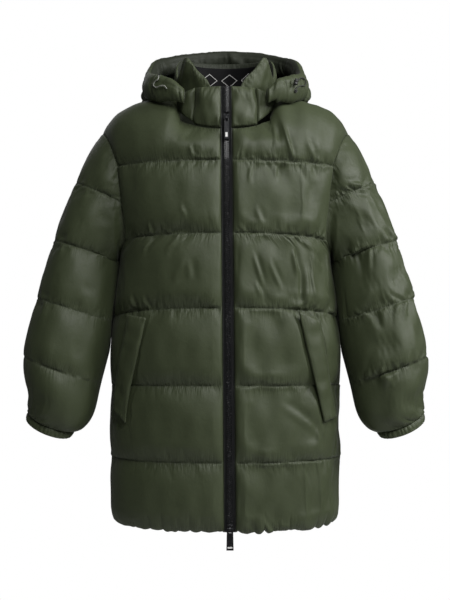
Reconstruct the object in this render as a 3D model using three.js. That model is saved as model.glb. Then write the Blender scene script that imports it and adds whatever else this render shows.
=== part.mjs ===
// Hooded, quilted puffer coat, filled out as it is when worn. Millimetres.
// +X is the wearer's left, -Y the front and +Z up. The origin lies between the shoulders, level with
// the inside of the shoulder cloth, where a wearer carries the coat.
import * as THREE from 'three';

// ---- driving dimensions ----
const GAP = 0.3; // between two pieces that meet at a seam
const SEAM = 1.2; // half the thickness of the cloth where two layers are quilted together
const SQUARENESS = 2.4; // exponent of the body's superelliptic sections
// The height of each part's padding outside its seams, and the share of it inside them.
const PUFF = {
  body: 13, side: 7, sleeve: 10, sleeveOuter: 6, underarm: 12, collar: 11, collarInner: 6, collarBack: 6, hood: 9,
  inside: 0.85, hoodInside: 0.5, weltInside: 0.2,
};
// How much of its height a baffle keeps in its stitched valleys, at the sides of the body and on
// the outer line of a sleeve.
const VALLEY = { side: 0.6, sleeve: 0.6 };
const ARM_CLEARANCE = 1.3; // between the side of the body and the sleeve that rests against it
const RISE = { quilt: 55, edge: 26, underarm: 30 }; // how far from a stitched line a baffle reaches full height
const ZIP = { tape: 11.5, chain: 5.6, leanTop: 1, leanHem: 8.8, thick: 1.2, chainThick: 3.4 };
const COLLAR_TOP = 20;
const COLLAR_SEAM = 38; // angle round the neck where the front of the collar meets the side of the hood
const HOOD_FRONT_END = 74; // and where that side ends
const FACING = { from: 118, to: 242, top: 92, foot: 44, pull: 0.9, halfThick: 0.8 };
const SHOULDER = { tipX: -253, tipY: 5, tipZ: -59, crown: -4, gap: 1.4 };
const SLEEVE_GAP = 2;
const UNDERARM_GAP = { from: -270, rate: 0.06 }; // how fast that gap widens towards the underarm
const CAP_BULGE = 14; // how far the sleeve's head rounds out beyond a straight line
const CUFF = { height: 16, thick: 2.2 };
const CORD = { radius: 1.25, sides: 8 };

// The inner ring of the collar, which rises to a padded point on each side: height and pull towards
// the middle of its top edge and of its foot.
const COLLAR_RING = [
  { turn: 20, topZ: 20, topPull: 0.84, footZ: -8, footPull: 0.8 },
  { turn: 25, topZ: 36, topPull: 0.87, footZ: -8, footPull: 0.8 },
  { turn: 38, topZ: 58, topPull: 0.93, footZ: -8, footPull: 0.8 },
  { turn: 50, topZ: 83, topPull: 0.97, footZ: -8, footPull: 0.8 },
  { turn: 56, topZ: 83, topPull: 0.98, footZ: -7, footPull: 0.81 },
  { turn: 66, topZ: 64, topPull: 0.97, footZ: -4, footPull: 0.84 },
  { turn: 78, topZ: 52, topPull: 0.96, footZ: 0, footPull: 0.9 },
  { turn: 90, topZ: 56, topPull: 0.97, footZ: 4, footPull: 0.97 },
  { turn: 102, topZ: 82, topPull: 1, footZ: 18, footPull: 1 },
  { turn: 115, topZ: 99, topPull: 1, footZ: 29, footPull: 1 },
  { turn: 180, topZ: 104, topPull: 1, footZ: 48, footPull: 1 },
];
// Sections of the body, without the height of its baffles: half width, front and back depth.
const BODY = [
  { z: -861, half: 224, front: 138, back: 138 },
  { z: -726, half: 226, front: 148, back: 146 },
  { z: -576, half: 226, front: 150, back: 145 },
  { z: -502, half: 227, front: 150, back: 143 },
  { z: -438, half: 223, front: 148, back: 141 },
  { z: -380, half: 215, front: 147, back: 141 },
  { z: -315, half: 208, front: 146, back: 142 },
  { z: -285, half: 212, front: 145, back: 142 },
  { z: -215, half: 225, front: 142, back: 140 },
  { z: -131, half: 240, front: 135, back: 134 },
];
// Quilting lines round the body, from the yoke line down to the hem.
const QUILTS = [
  { front: -131, side: -139, back: -138 },
  { front: -276, side: -288, back: -284 },
  { front: -424, side: -438, back: -430 },
  { front: -576, side: -574, back: -576 },
  { front: -726, side: -718, back: -722 },
  { front: -861, side: -842, back: -850 },
];
// The armhole seen from the front: the angle round the body at which each height meets it.
const ARMHOLE = [
  { z: -315, turn: 90 },
  { z: -288, turn: 70 },
  { z: -215, turn: 64 },
  { z: -139, turn: 62 },
];
// The ring of the neck seam, and its height at each angle from the front (0) to the back (180).
const NECK = { half: 102, midY: -20, depth: 98 };
const NECK_LINE = [
  { turn: 0, z: -67 },
  { turn: 20, z: -64 },
  { turn: 43, z: -54 },
  { turn: 68, z: -37 },
  { turn: 85, z: -10 },
  { turn: 100, z: 12 },
  { turn: 120, z: 26 },
  { turn: 150, z: 38 },
  { turn: 180, z: 42 },
];
// Rings of the sleeve below the armhole, by their inner and outer ends, depth centre and half depth,
// and how far the inner end lies behind that centre.
const SLEEVE = [
  { innerX: -228, innerZ: -322, outerX: -345, outerZ: -283, midY: -8, depth: 70, turned: 12 },
  { innerX: -238, innerZ: -447, outerX: -377, outerZ: -401, midY: -22, depth: 74, turned: 12 },
  { innerX: -265, innerZ: -568, outerX: -402, outerZ: -517, midY: -36, depth: 74, turned: 6 },
  { innerX: -280, innerZ: -632, outerX: -392, outerZ: -594, midY: -44, depth: 58, turned: 2 },
  { innerX: -306, innerZ: -661, outerX: -394, outerZ: -628, midY: -48, depth: 42, turned: 0 },
];
// Quilting lines round the sleeve as straight lines seen from the front.
const SLEEVE_QUILTS = [
  { innerX: -218, innerZ: -203, outerX: -305, outerZ: -162 },
  { innerX: -228, innerZ: -322, outerX: -345, outerZ: -283 },
  { innerX: -238, innerZ: -447, outerX: -377, outerZ: -401 },
  { innerX: -265, innerZ: -568, outerX: -402, outerZ: -517 },
  { innerX: -306, innerZ: -661, outerX: -394, outerZ: -628 },
];
// Middle of the gathered edge of the hood, from the collar to the middle of the back.
const RIM = [
  { x: -84, y: -108, z: 2, tall: 30, thick: 20 },
  { x: -106, y: -101, z: 14, tall: 46, thick: 24 },
  { x: -133, y: -82, z: 21, tall: 57, thick: 26 },
  { x: -152, y: -48, z: 31, tall: 55, thick: 26 },
  { x: -155, y: -8, z: 48, tall: 52, thick: 26 },
  { x: -147, y: 32, z: 78, tall: 48, thick: 26 },
  { x: -124, y: 74, z: 98, tall: 40, thick: 26 },
  { x: -70, y: 106, z: 114, tall: 40, thick: 26 },
  { x: 0, y: 118, z: 121, tall: 40, thick: 26 },
];
// The pocket welts, from top to bottom: their inner and outer edges as seen from the front.
const WELTS = {
  right: [
    { innerX: -149, innerZ: -443, outerX: -181, outerZ: -436 },
    { innerX: -163, innerZ: -510, outerX: -194, outerZ: -497 },
    { innerX: -176, innerZ: -574, outerX: -205, outerZ: -556 },
    { innerX: -184, innerZ: -622, outerX: -209, outerZ: -604 },
    { innerX: -186, innerZ: -650, outerX: -210, outerZ: -622 },
  ],
  left: [
    { innerX: 137, innerZ: -430, outerX: 177, outerZ: -447 },
    { innerX: 152, innerZ: -500, outerX: 187, outerZ: -512 },
    { innerX: 166, innerZ: -562, outerX: 196, outerZ: -573 },
    { innerX: 177, innerZ: -615, outerX: 204, outerZ: -615 },
    { innerX: 184, innerZ: -648, outerX: 209, outerZ: -638 },
  ],
};
const WELT = { stand: 4, crown: 2.5, rows: 10 };
// The ends of the drawcord that lie on the hood's edge, and the barrel that one of them loops out of.
const DRAWCORDS = {
  drawcord_right: [
    [-134.2, -89.6, 46.5], [-135.5, -95.8, 37.5], [-142.5, -92.2, 32.5], [-144.8, -91.4, 26],
    [-138.8, -97.4, 20.6], [-130.2, -103.8, 22.3], [-122.8, -108.2, 21.7], [-116.9, -111.6, 15.4],
  ],
  drawcord_left: [
    [145.4, -90.6, 35.2], [150.5, -81.4, 42.4], [158.3, -67.5, 44.6], [163.6, -58.5, 38.2],
    [161.4, -66, 31], [155, -77.8, 27.6], [148.6, -87.6, 25.2], [142.6, -94.2, 19.6],
    [141.2, -95.4, 13],
  ],
};
const LOCK = { x: 141, y: -101, z: 31, turn: 12 };
const SLIDER = {
  width: 11, tall: 15, thick: 4, corner: 3, bailOuter: 3.8, bailInner: 2.2, bailWidth: 3.4, axisOut: 2,
};
// The two sliders' places on the zip, with the length, width and lean of their pulls.
const PULLS = [
  { name: 'top', z: -46, face: -123.4, x: 2, length: 44, width: 10, lean: 3.6 },
  { name: 'bottom', z: -853, face: -144.9, x: 8.7, length: 43, width: 14, lean: 0 },
];
const PULL = { thick: 2, bar: 1.25, slot: 6.4, slotWidth: 5.4, corner: 1.2 };
// Profiles of the hood that hangs behind, each from its rim down and back up to the neck.
const HOOD = [
  [[0, 134, 107], [0, 172, 84], [0, 203, 12], [0, 194, -78], [0, 163, -136], [0, 150, -72], [0, 121, 10],
    [0, 106, 40]],
  [[-73, 122, 101], [-84, 162, 72], [-94, 188, 6], [-88, 181, -70], [-76, 160, -118], [-70, 148, -62],
    [-62, 118, 8], [-56, 98, 38]],
  [[-137, 87, 84], [-146, 118, 50], [-152, 146, 4], [-142, 154, -38], [-124, 152, -60], [-110, 138, -28],
    [-98, 104, 14], [-86, 70, 38]],
  [[-162, 42, 58], [-168, 56, 34], [-168, 78, 24], [-156, 90, 16], [-142, 92, 10], [-130, 78, 20],
    [-118, 52, 34], [-108, 26, 44]],
  [[-156, -4, 14], [-161, 2, 13], [-154, 4, 19], [-144, 2, 21], [-131, 0, 22], [-120, -3, 26],
    [-112, -6, 32], [-107, -10, 38]],
];

// ---- small tools ----
const vec = (x, y, z) => new THREE.Vector3(x, y, z);
const mix = (a, b, t) => a + (b - a) * t;
const radians = (turn) => (turn * Math.PI) / 180;
const degrees = (angle) => (angle * 180) / Math.PI;
const quarterRound = (d, reach) => Math.sqrt(1 - (1 - Math.min(Math.max(d / reach, 0), 1)) ** 2);
const steps = (count) => Array.from({ length: count + 1 }, (_, i) => i / count);

// A smooth value of one named column of a table, read along another.
function along(table, key, at, name) {
  const rows = [...table].sort((a, b) => a[key] - b[key]);
  let i = rows.findIndex((row) => row[key] > at) - 1;
  if (i < 0) i = at < rows[0][key] ? 0 : rows.length - 2;
  const slope = (j) => {
    const a = rows[Math.max(j - 1, 0)];
    const b = rows[Math.min(j + 1, rows.length - 1)];
    return (b[name] - a[name]) / (b[key] - a[key]);
  };
  const [low, high] = [rows[i], rows[i + 1]];
  const run = high[key] - low[key];
  const t = Math.min(Math.max((at - low[key]) / run, 0), 1);
  const [t2, t3] = [t * t, t * t * t];
  return (2 * t3 - 3 * t2 + 1) * low[name] + (t3 - 2 * t2 + t) * run * slope(i)
    + (3 * t2 - 2 * t3) * high[name] + (t3 - t2) * run * slope(i + 1);
}

function material(name, color, roughness, metalness = 0) {
  const made = new THREE.MeshStandardMaterial({ color, roughness, metalness });
  made.name = name;
  return made;
}
const SHELL = () => material('shell', 0x3f4636, 0.5);
const BLACK = () => material('black_trim', 0x1c1d1d, 0.6);
const METAL = () => material('dark_metal', 0x2a2b2c, 0.35, 0.9);
const CORDING = () => material('cord', 0x8d9086, 0.8);

const coat = new THREE.Group();
coat.name = 'hooded_puffer_coat';

function addMesh(name, geometry, finish) {
  const mesh = new THREE.Mesh(geometry, finish);
  mesh.name = name;
  coat.add(mesh);
  return mesh;
}

// A closed body from indexed points, turned so that its faces point out.
function closedBody(points, triangles) {
  let volume = 0;
  for (const [a, b, c] of triangles) volume += points[a].dot(points[b].clone().cross(points[c]));
  const faces = volume < 0 ? triangles.map(([a, b, c]) => [a, c, b]) : triangles;
  const geometry = new THREE.BufferGeometry();
  const numbers = points.flatMap((p) => [p.x, p.y, p.z]);
  geometry.setAttribute('position', new THREE.Float32BufferAttribute(numbers, 3));
  geometry.setIndex(faces.flat());
  geometry.computeVertexNormals();
  return geometry;
}

// Unit normals of a grid of points, all on the side that the hint points to over most of it.
function gridNormals(grid, closed, hint) {
  const rows = grid.length;
  const cols = grid[0].length;
  let agreement = 0;
  const normals = grid.map((row, r) => row.map((point, c) => {
    const before = closed ? (c + cols - 1) % cols : Math.max(c - 1, 0);
    const after = closed ? (c + 1) % cols : Math.min(c + 1, cols - 1);
    const across = row[after].clone().sub(row[before]);
    const down = grid[Math.min(r + 1, rows - 1)][c].clone().sub(grid[Math.max(r - 1, 0)][c]);
    const normal = across.cross(down).normalize();
    agreement += Math.sign(normal.dot(hint(point, r, c)));
    return normal;
  }));
  if (agreement < 0) normals.flat().forEach((normal) => normal.negate());
  return normals;
}

// Two skins over one grid, joined round its edges: a wall that is thin at seams and full between them.
function wall(grid, { closed = false, hint, puff = () => 0, inside = PUFF.inside, seam = SEAM }) {
  const normals = gridNormals(grid, closed, hint);
  const rows = grid.length;
  const cols = grid[0].length;
  const points = [];
  for (const side of [1, -inside]) {
    for (let r = 0; r < rows; r += 1) {
      for (let c = 0; c < cols; c += 1) {
        const height = Math.sign(side) * seam + side * puff(r, c);
        points.push(grid[r][c].clone().addScaledVector(normals[r][c], height));
      }
    }
  }
  const at = (skin, r, c) => skin * rows * cols + r * cols + (c % cols);
  const triangles = [];
  const quad = (a, b, c, d) => triangles.push([a, b, c], [a, c, d]);
  const lastCol = closed ? cols : cols - 1;
  for (let r = 0; r < rows - 1; r += 1) {
    for (let c = 0; c < lastCol; c += 1) {
      quad(at(0, r, c), at(0, r, c + 1), at(0, r + 1, c + 1), at(0, r + 1, c));
      quad(at(1, r, c), at(1, r + 1, c), at(1, r + 1, c + 1), at(1, r, c + 1));
    }
  }
  for (let c = 0; c < lastCol; c += 1) {
    quad(at(0, 0, c), at(1, 0, c), at(1, 0, c + 1), at(0, 0, c + 1));
    quad(at(0, rows - 1, c), at(0, rows - 1, c + 1), at(1, rows - 1, c + 1), at(1, rows - 1, c));
  }
  if (!closed) {
    for (let r = 0; r < rows - 1; r += 1) {
      quad(at(0, r, 0), at(0, r + 1, 0), at(1, r + 1, 0), at(1, r, 0));
      quad(at(0, r, cols - 1), at(1, r, cols - 1), at(1, r + 1, cols - 1), at(0, r + 1, cols - 1));
    }
  }
  return closedBody(points, triangles);
}

// A filled tube through rings of equal count, closed by a fan at each end.
function filledTube(rings) {
  const cols = rings[0].length;
  const points = rings.flat();
  const triangles = [];
  for (let r = 0; r < rings.length - 1; r += 1) {
    for (let c = 0; c < cols; c += 1) {
      const [a, b] = [r * cols + c, r * cols + ((c + 1) % cols)];
      triangles.push([a, b, b + cols], [a, b + cols, a + cols]);
    }
  }
  for (const [r, flip] of [[0, true], [rings.length - 1, false]]) {
    const middle = rings[r].reduce((sum, p) => sum.add(p), vec(0, 0, 0)).divideScalar(cols);
    const hub = points.push(middle) - 1;
    for (let c = 0; c < cols; c += 1) {
      const [a, b] = [r * cols + c, r * cols + ((c + 1) % cols)];
      triangles.push(flip ? [hub, b, a] : [hub, a, b]);
    }
  }
  return closedBody(points, triangles);
}

const mirrored = (grid) => grid.map((row) => row.map((p) => vec(-p.x, p.y, p.z)));

// ---- the body's surface ----
const ARC = 2 / SQUARENESS;
const lean = (z) => mix(ZIP.leanHem, ZIP.leanTop, (z + 861) / 872);

// The height of a quilting line at an angle round the body, 0 in front and 180 behind.
function quiltHeight(index, turn) {
  const line = QUILTS[index];
  const c = Math.cos(radians(turn));
  return c >= 0 ? mix(line.side, line.front, c) : mix(line.side, line.back, -c);
}

// A point on the wearer's right half of the body.
function bodyPoint(turn, z) {
  const a = radians(turn);
  const half = along(BODY, 'z', z, 'half');
  const depth = along(BODY, 'z', z, turn <= 90 ? 'front' : 'back');
  const y = depth * Math.abs(Math.cos(a)) ** ARC * (turn <= 90 ? -1 : 1);
  return vec(-half * Math.sin(a) ** ARC, y, z);
}

const turnAtWidth = (x, z) => degrees(Math.asin(Math.min(x / along(BODY, 'z', z, 'half'), 1) ** (1 / ARC)));

function neckPoint(turn) {
  const a = radians(turn);
  const z = along(NECK_LINE, 'turn', turn, 'z');
  return vec(-NECK.half * Math.sin(a), NECK.midY - NECK.depth * Math.cos(a), z);
}

// The shoulder seam from the neck (0) to the armhole (1).
const NECK_SIDE = 97;
function shoulderPoint(t) {
  const neck = neckPoint(NECK_SIDE);
  const tip = vec(SHOULDER.tipX, SHOULDER.tipY, SHOULDER.tipZ);
  const crown = vec(mix(neck.x, tip.x, 0.84), mix(neck.y, tip.y, 0.6), neck.z + SHOULDER.crown);
  return new THREE.QuadraticBezierCurve3(neck, crown, tip).getPoint(t);
}

const ROW_STEPS = [0.18, 0.5, 0.82, 1];
const NECK_SHARE = 0.42; // the part of a front's top edge that lies on the neck seam
const BACK_NECK_SHARE = 0.4;

const armholeTurn = (z) => (z <= ARMHOLE[0].z ? 90 : along(ARMHOLE, 'z', z, 'turn'));

// Rows of one panel from the shoulder down to the hem. Each point carries the baffle it lies in.
function bodyPanel({ isBack, columns, zipSide = -1 }) {
  const facing = (turn) => (isBack ? 180 - turn : turn);
  const middleTurn = (z) => {
    if (isBack) return 180;
    return turnAtWidth(Math.max(ZIP.tape + GAP + zipSide * lean(z), 1), z);
  };
  const lowerPoint = (u, index, t) => {
    const sideZ = mix(quiltHeight(index, facing(90)), quiltHeight(index + 1, facing(90)), t);
    const sideTurn = Math.min(armholeTurn(sideZ), 90 - 0.01);
    const middle = middleTurn(mix(QUILTS[index].front, QUILTS[index + 1].front, t));
    const turn = isBack ? mix(180, 180 - sideTurn, u) : mix(middle, sideTurn, u);
    return bodyPoint(turn, mix(quiltHeight(index, turn), quiltHeight(index + 1, turn), t));
  };
  const topPoint = (u) => {
    const share = isBack ? BACK_NECK_SHARE : NECK_SHARE;
    if (u > share) return shoulderPoint((u - share) / (1 - share));
    if (isBack) return neckPoint(mix(180, NECK_SIDE, u / share));
    const first = degrees(Math.asin((ZIP.tape + 2 * GAP + zipSide * lean(NECK_LINE[0].z)) / NECK.half));
    return neckPoint(mix(first, NECK_SIDE, u / share));
  };
  const yokePoint = (u, t) => {
    const top = topPoint(u);
    const low = lowerPoint(u, 0, 0);
    const round = Math.min(u / NECK_SHARE, 1);
    const bend = vec(mix(low.x, top.x, 0.5), mix(low.y, top.y, mix(0.38, 0.1, round)),
      mix(low.z, top.z, mix(0.5, 0.86, round)));
    return new THREE.QuadraticBezierCurve3(top, bend, low).getPoint(t);
  };
  const rows = [columns.map((u) => yokePoint(u, 0))];
  const marks = [0];
  for (const t of ROW_STEPS) {
    rows.push(columns.map((u) => yokePoint(u, t)));
    marks.push(t);
  }
  for (let index = 0; index < QUILTS.length - 1; index += 1) {
    for (const t of ROW_STEPS) {
      rows.push(columns.map((u) => lowerPoint(u, index, t)));
      marks.push(index + 1 + t);
    }
  }
  return { rows, marks };
}

const BAFFLE = 148; // nominal height of one baffle
const PANEL_WIDTH = 230; // nominal width of half a front or back
const quiltRise = (mark) => quarterRound(Math.min(mark % 1, 1 - (mark % 1)) * BAFFLE, RISE.quilt);

const FRONT_COLUMNS = [0, 0.07, 0.2, 0.36, 0.52, 0.68, 0.82, 0.93, 1];
const BACK_HALF = [0, 0.16, 0.34, 0.52, 0.7, 0.84, 0.94, 1];
const outwards = (p) => vec(p.x, p.y * 2.2, Math.max(p.z + 150, 0) * 1.2);

const sidePuff = (u) => mix(PUFF.body, PUFF.side, Math.max(u - 0.55, 0) / 0.45);
// The valleys between baffles are shallower at the sides, below the armhole.
function panelRise(u, mark) {
  const kept = mark > 1 && mark < 5.5 ? VALLEY.side * Math.max(u - 0.8, 0) * 5 : 0;
  return mix(kept, 1, quiltRise(mark));
}

function makeFront(name, flip) {
  const panel = bodyPanel({ isBack: false, columns: FRONT_COLUMNS, zipSide: flip ? 1 : -1 });
  const rise = (r, c) => {
    const u = FRONT_COLUMNS[c];
    const edge = quarterRound(Math.min(u, 1 - u) * PANEL_WIDTH, RISE.edge);
    const neck = u < NECK_SHARE ? quarterRound(panel.marks[r], 0.8) : 1;
    return sidePuff(u) * panelRise(u, panel.marks[r]) * edge * neck;
  };
  const grid = flip ? mirrored(panel.rows) : panel.rows;
  addMesh(name, wall(grid, { hint: outwards, puff: rise }), SHELL());
  return panel;
}

const frontRight = makeFront('front_right', false);
makeFront('front_left', true);

const backRight = bodyPanel({ isBack: true, columns: BACK_HALF });
const backGrid = backRight.rows.map((row) => {
  const left = row.slice(1).map((p) => vec(-p.x, p.y, p.z));
  return [...[...left].reverse(), ...row];
});
const backUs = [...[...BACK_HALF.slice(1)].reverse(), ...BACK_HALF];
const backRise = (r, c) => {
  const [u, mark] = [backUs[c], backRight.marks[r]];
  return sidePuff(u) * panelRise(u, mark) * quarterRound((1 - u) * PANEL_WIDTH, RISE.edge);
};
// The shoulder and side seams keep their gap because the back starts a little behind them.
const backShift = (mark) => GAP + SHOULDER.gap * Math.max(1 - mark, 0);
const backShifted = backGrid.map((row, r) => row.map((p) => {
  return vec(p.x, p.y + backShift(backRight.marks[r]), p.z);
}));
addMesh('back', wall(backShifted, { hint: outwards, puff: backRise }), SHELL());

// ---- sleeves ----
const ARMHOLE_ROWS = 9; // rows of the body panels between the shoulder point and the underarm
const RING = 2 * ARMHOLE_ROWS;
const SLEEVE_DROP = [0, 0, 0.05, 0.2, 0.36]; // how far a ring's front hangs, for each mm of its depth
const SLEEVE_STEPS = [0.15, 0.35, 0.65, 0.85, 1];

function armholeRing() {
  const edge = (rows, r) => rows[r][rows[r].length - 1].clone();
  const ring = [];
  for (let r = ARMHOLE_ROWS; r >= 0; r -= 1) ring.push(edge(frontRight.rows, r));
  for (let r = 1; r < ARMHOLE_ROWS; r += 1) ring.push(edge(backRight.rows, r));
  return ring.map((p) => {
    const wider = Math.max(UNDERARM_GAP.from - p.z, 0) * UNDERARM_GAP.rate;
    return vec(p.x - SLEEVE_GAP - wider, p.y, p.z);
  });
}

function sleeveRing(row, drop) {
  const middle = vec((row.innerX + row.outerX) / 2, row.midY, (row.innerZ + row.outerZ) / 2);
  const arm = vec((row.outerX - row.innerX) / 2, 0, (row.outerZ - row.innerZ) / 2);
  return Array.from({ length: RING }, (_, j) => {
    const a = (j / RING) * 2 * Math.PI;
    const y = -row.depth * Math.sin(a);
    const turned = row.turned * Math.cos(a);
    return middle.clone().addScaledVector(arm, -Math.cos(a)).add(vec(0, y + turned, y * drop));
  });
}

function sleeveGrid() {
  const rings = [armholeRing()];
  const marked = SLEEVE.map((row, i) => sleeveRing(row, SLEEVE_DROP[i]));
  for (const t of SLEEVE_STEPS) {
    rings.push(rings[0].map((start, j) => {
      const end = marked[0][j];
      const bulge = (CAP_BULGE * (1 - Math.cos((j / RING) * 2 * Math.PI))) / 2;
      const bend = start.clone().lerp(end, 0.5).add(vec(-bulge, 0, 0));
      return new THREE.QuadraticBezierCurve3(start, bend, end).getPoint(t);
    }));
  }
  for (let i = 1; i < marked.length; i += 1) {
    const count = i < 3 ? 5 : 2;
    for (let k = 1; k <= count; k += 1) {
      const t = i < 3 ? SLEEVE_STEPS[k - 1] : k / count;
      rings.push(marked[i].map((_, j) => {
        const curve = new THREE.CatmullRomCurve3(marked.map((ring) => ring[j]), false, 'catmullrom', 0.5);
        return curve.getPoint((i - 1 + t) / (marked.length - 1));
      }));
    }
  }
  return rings;
}

function lineDistance(p, line) {
  const [dx, dz] = [line.outerX - line.innerX, line.outerZ - line.innerZ];
  return Math.abs((p.x - line.innerX) * dz - (p.z - line.innerZ) * dx) / Math.hypot(dx, dz);
}

// The room between a point of the sleeve and the side of the body, at its own depth and height.
function roomBesideBody(p) {
  const depth = along(BODY, 'z', p.z, p.y < 0 ? 'front' : 'back');
  const flat = 1 - Math.min(Math.abs(p.y) / depth, 1) ** SQUARENESS;
  const surface = along(BODY, 'z', p.z, 'half') * flat ** (1 / SQUARENESS) + SEAM + PUFF.side;
  return -p.x - surface - ARM_CLEARANCE - SEAM;
}

const sleeveRings = sleeveGrid();
function sleeveRise(r, c) {
  const p = sleeveRings[r][c];
  const quilt = Math.min(...SLEEVE_QUILTS.map((line) => lineDistance(p, line)));
  const fromArmhole = quarterRound(p.distanceTo(sleeveRings[0][c]), RISE.quilt);
  const fromInner = Math.min(c, RING - c) / (RING / 2);
  const kept = VALLEY.sleeve * Math.max(fromInner - 0.6, 0) * 2.5;
  const full = mix(PUFF.sleeve, PUFF.sleeveOuter, Math.min(Math.max(fromInner - 0.55, 0) / 0.3, 1));
  const regular = full * Math.min(fromArmhole, mix(kept, 1, quarterRound(quilt, RISE.quilt)));
  const wristEnd = quarterRound(lineDistance(p, SLEEVE_QUILTS[4]), RISE.quilt / 2);
  const underHole = quarterRound(p.distanceTo(sleeveRings[0][c]), RISE.underarm);
  const pressed = Math.min(Math.max(roomBesideBody(p), 0), PUFF.underarm * wristEnd * underHole);
  return mix(pressed, regular, Math.min(Math.max(fromInner - 0.2, 0) / 0.25, 1));
}
const ringHint = (rings) => (p, r) => {
  const middle = rings[r].reduce((sum, q) => sum.add(q), vec(0, 0, 0)).divideScalar(rings[r].length);
  return p.clone().sub(middle);
};

const wrist = SLEEVE[SLEEVE.length - 1];
const cuffAxis = vec(wrist.innerZ - wrist.outerZ, 0, wrist.outerX - wrist.innerX).normalize();
const cuffRings = [SEAM + GAP, CUFF.height].map((d) => sleeveRings[sleeveRings.length - 1].map((p) => {
  return p.clone().addScaledVector(cuffAxis, d);
}));
for (const [side, turnOver] of [['right', (g) => g], ['left', mirrored]]) {
  const rings = turnOver(sleeveRings);
  addMesh(`sleeve_${side}`, wall(rings, { closed: true, hint: ringHint(rings), puff: sleeveRise }), SHELL());
  const cuff = turnOver(cuffRings);
  const cuffWall = wall(cuff, { closed: true, hint: ringHint(cuff), inside: 1, seam: CUFF.thick / 2 });
  addMesh(`cuff_${side}`, cuffWall, SHELL());
}

// ---- stand collar ----
function collarPoint(turn, height, pull = 1) {
  const a = radians(turn);
  return vec(-NECK.half * pull * Math.sin(a), NECK.midY - NECK.depth * pull * Math.cos(a), height);
}

// A padded part of the collar between two angles. The ring gives the height and the pull inwards of
// its top edge and of its foot at each angle.
function collarPart(name, { from, to, cols, rows, ring, puff, side = 1 }) {
  const grid = steps(rows).map((v) => steps(cols).map((u) => {
    const turn = mix(from, to, u);
    const { topZ, topPull, footZ, footPull } = ring(turn <= 180 ? turn : 360 - turn);
    return collarPoint(turn, mix(topZ, footZ, v), mix(topPull, footPull, v));
  }));
  const rise = (r, c) => {
    const [v, u] = [r / rows, c / cols];
    return puff * quarterRound(Math.min(u, 1 - u) * 2, 1) * quarterRound(Math.min(v, 1 - v) * 2, 1);
  };
  const hint = (p) => vec(p.x, p.y - NECK.midY, 0);
  addMesh(name, wall(side > 0 ? grid : mirrored(grid), { hint, puff: rise }), SHELL());
}

// The front of the collar and the side of the hood stand on the neck seam.
const standingOn = (topZ, topPull, lift) => (turn) => {
  return { topZ: topZ(turn), topPull, footZ: neckPoint(turn).z + lift(turn), footPull: 1 };
};
const pastCollar = (turn) => (turn - COLLAR_SEAM) / (HOOD_FRONT_END - COLLAR_SEAM);
const innerRing = (turn) => Object.fromEntries(['topZ', 'topPull', 'footZ', 'footPull'].map((name) => {
  return [name, along(COLLAR_RING, 'turn', turn, name)];
}));

for (const [side, sign] of [['right', 1], ['left', -1]]) {
  const first = degrees(Math.asin((ZIP.tape + 1 - sign * lean(0)) / NECK.half));
  const frontRing = standingOn(() => COLLAR_TOP, 0.935, () => 2 * SEAM + GAP);
  const sideRing = standingOn((turn) => mix(COLLAR_TOP, 4, pastCollar(turn)), 0.97,
    (turn) => mix(7, 26, pastCollar(turn)));
  collarPart(`collar_${side}`, {
    from: first, to: COLLAR_SEAM, cols: 6, rows: 4, ring: frontRing, puff: PUFF.collar, side: sign,
  });
  collarPart(`hood_front_${side}`, {
    from: COLLAR_SEAM + 0.5, to: HOOD_FRONT_END, cols: 5, rows: 4, ring: sideRing, puff: PUFF.collar,
    side: sign,
  });
  collarPart(`collar_inner_${side}`, {
    from: COLLAR_RING[0].turn, to: 89.7, cols: 12, rows: 4, ring: innerRing, puff: PUFF.collarInner,
    side: sign,
  });
}
collarPart('collar_back', { from: 90, to: 270, cols: 18, rows: 4, ring: innerRing, puff: PUFF.collarBack });

const facingGrid = steps(2).map((v) => steps(12).map((u) => {
  return collarPoint(mix(FACING.from, FACING.to, u), mix(FACING.top, FACING.foot, v), FACING.pull);
}));
const facingHint = (p) => vec(-p.x, NECK.midY - p.y, 0);
addMesh('neck_facing', wall(facingGrid, { hint: facingHint, inside: 1, seam: FACING.halfThick }), BLACK());

// ---- hood ----
const mirrorTriple = ([x, y, z]) => [-x, y, z];
function smoothList(list, at) {
  const curve = new THREE.CatmullRomCurve3(list, false, 'centripetal');
  return curve.getPoint(at / (list.length - 1));
}
const HOOD_SPAN = HOOD.length - 1;
// A point of the hood: s counts profiles from the middle of the back, v the points down a profile.
function hoodPoint(s, v) {
  const order = [];
  for (let i = -HOOD_SPAN; i <= HOOD_SPAN; i += 1) order.push(i);
  const profiles = order.map((i) => HOOD[Math.abs(i)].map((p) => vec(...(i > 0 ? mirrorTriple(p) : p))));
  return smoothList(profiles.map((profile) => smoothList(profile, v)), s + HOOD_SPAN);
}

function hoodPanel(name, from, to, cols) {
  const rows = 2 * (HOOD[0].length - 1);
  const last = HOOD[0].length - 1;
  const grid = steps(rows).map((v) => steps(cols).map((u) => hoodPoint(mix(from, to, u), v * last)));
  const rise = (r, c) => {
    const edge = Math.min(c / cols, 1 - c / cols) * Math.abs(to - from) * 1.6;
    const band = (r / rows) * 4.5;
    const quilt = Math.min(band % 1, 1 - (band % 1)) * 2;
    const ends = Math.min(r, rows - r) / 2;
    return PUFF.hood * quarterRound(edge, 1) * quarterRound(quilt, 1) * quarterRound(ends, 1);
  };
  const core = (p) => vec(p.x * 0.2, 120 - p.y, -40 - p.z).negate().add(vec(p.x * 0.6, 0, 0));
  const hint = (p, r) => (r < rows * 0.55 ? core(p) : vec(0, 1, -1));
  addMesh(name, wall(grid, { hint, puff: rise, inside: PUFF.hoodInside }), SHELL());
}
hoodPanel('hood_right', -HOOD_SPAN, -1 - 0.01, 8);
hoodPanel('hood_centre', -1, 1, 6);
hoodPanel('hood_left', 1 + 0.01, HOOD_SPAN, 8);

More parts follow.
